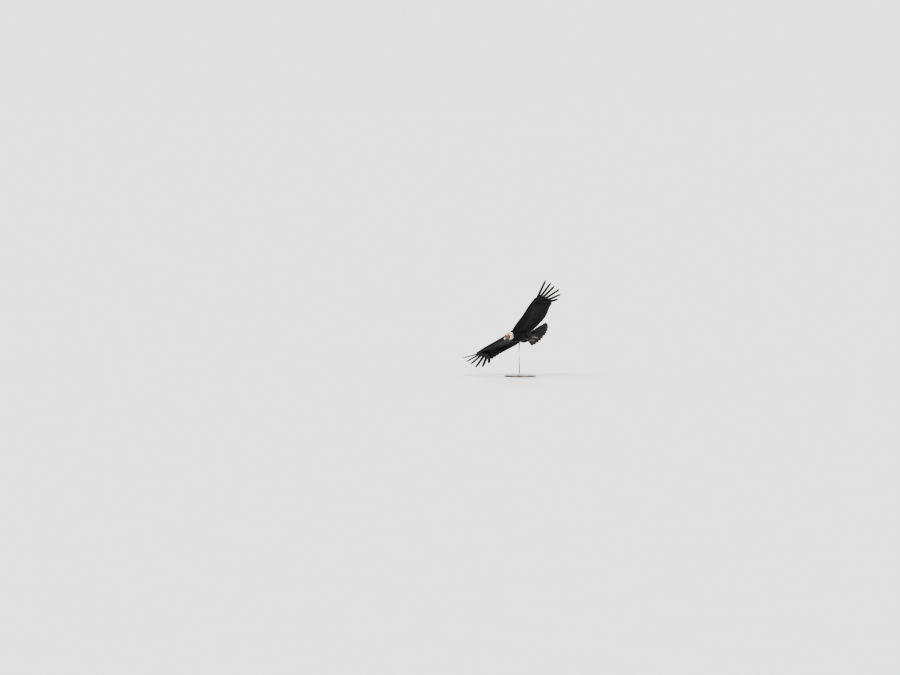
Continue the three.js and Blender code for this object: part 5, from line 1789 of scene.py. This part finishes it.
WOOD = make_plain("dark_stained_wood", 4.0, 60.0, ((0.012, 0.007, 0.004), (0.075, 0.04, 0.02)), 0.3,
                  0.25, (0.15, 0.0005), stretch=(1.0, 14.0, 5.0), tint=(0.4, (0.008, 0.005, 0.003)),
                  Coat_Weight=0.25, Coat_Roughness=0.25)
STEEL = make_plain("brushed_steel", 40.0, 900.0, ((0.42, 0.42, 0.43), (0.56, 0.56, 0.57)), 0.2, 0.22,
                   (0.08, 0.0002), stretch=(1.0, 1.0, 0.04), Metallic=1.0, Anisotropic=0.5)
ROD_AHEAD = 20
turned("display_base", rounded_edge(329.5, 0, 24, 5), WOOD, "base_wood", 160, "stand_base")
rod = turned("display_rod", [(9.8, 24.2), (9.8, 790)], STEEL, "rod_steel", 48, "stand_rod")
collar_profile = [(10, 24.2)] + rounded_edge(31.8, 24.4, 44, 2.5) + [(10, 44.2)]
collar = turned("display_collar", collar_profile, STEEL, "rod_steel", 64, "stand_collar")
for upright in (rod, collar):
    upright.location.y -= ROD_AHEAD * MM
print("the rod stands", ROD_AHEAD, "mm ahead of the middle of the base")

# %% Floor and background
HORIZON_LIGHT = 1.0
FLOOR_REFLECTS = 0.62


reach = 3000.0
floor_mesh = bpy.data.meshes.new("floor")
floor_mesh.from_pydata([(-reach, -reach, 0), (reach, -reach, 0), (reach, reach, 0), (-reach, reach, 0)], [],
                       [(0, 1, 2, 3)])
floor = into_scene("floor", floor_mesh)
low, high = FLOOR_REFLECTS * 0.985, FLOOR_REFLECTS * 1.015
floor_mesh.materials.append(make_plain(
    "pale_floor", 1.2, 30.0, ((low,) * 3, (high,) * 3), 0.8, 0.1, None, Specular_IOR_Level=0.0))

world = bpy.data.worlds.new("studio")
bpy.context.scene.world = world
world.use_nodes = True
background = world.node_tree.nodes["Background"]
background.inputs["Color"].default_value = (HORIZON_LIGHT, HORIZON_LIGHT, HORIZON_LIGHT, 1)
background.inputs["Strength"].default_value = 1.0
print("floor reaches", reach, "m each way")

# %% [markdown]
# ## Light and camera
#
# A large soft key comes from the front left and above, a second from low on the camera's side opens
# up the underside of the wings, and a third from behind draws the edges. The floor takes the rest of
# its brightness from the background, and the two are balanced so that no line shows where they meet.
#
# The camera looks from the bird's front left, a little above, from far away with a long lens, as the
# photograph does. It frames the same wide field with the bird small in it.

# %% Lights
def sun(name, azimuth, elevation, strength, spread):
    """A soft sun whose light comes from a compass direction, with 0 along -Y, in degrees."""
    light = bpy.data.lights.new(name, "SUN")
    light.energy, light.angle = strength, math.radians(spread)
    holder = into_scene(name, light)
    a, e = math.radians(azimuth), math.radians(elevation)
    back = Vector((math.sin(a) * math.cos(e), -math.cos(a) * math.cos(e), math.sin(e)))
    holder.rotation_mode = "QUATERNION"
    holder.rotation_quaternion = back.to_track_quat("Z", "Y")
    return strength * math.sin(e)


on_floor = sun("key", 5, 48, 1.7, 24) + sun("low_fill", 75, 14, 1.3, 50) + sun("rim", 215, 35, 0.6, 20)
print("light of the suns on the floor:", round(on_floor, 2), "for an even horizon:",
      round(math.pi * HORIZON_LIGHT * (1 / FLOOR_REFLECTS - 1), 2))

# %% Camera
AZIMUTH, ELEVATION = math.radians(46.09), math.radians(3.0)
LENS = 180.0
PHOTO_WIDTH, PIXELS_A_METRE = 900, 48.34
right = Vector((math.cos(AZIMUTH), math.sin(AZIMUTH), 0))
back = Vector((
    math.sin(AZIMUTH) * math.cos(ELEVATION), -math.cos(AZIMUTH) * math.cos(ELEVATION), math.sin(ELEVATION)
))
up = back.cross(right)
aim = Vector((0, 0, BODY_HEIGHT)) - 1.448 * right - 0.062 * up
camera = into_scene("camera", bpy.data.cameras.new("camera"))
camera.data.lens = LENS
camera.data.clip_end = 5000
distance = PHOTO_WIDTH * LENS / (36 * PIXELS_A_METRE)
camera.location = aim + distance * back
camera.rotation_mode = "QUATERNION"
camera.rotation_quaternion = back.to_track_quat("Z", "Y")
bpy.context.scene.camera = camera
print("camera stands", round(distance, 1), "m away and", round(camera.location.z, 2), "m high")

bpy.context.scene.view_settings.look = "AgX - High Contrast"
bpy.context.scene.view_settings.exposure = 0.3
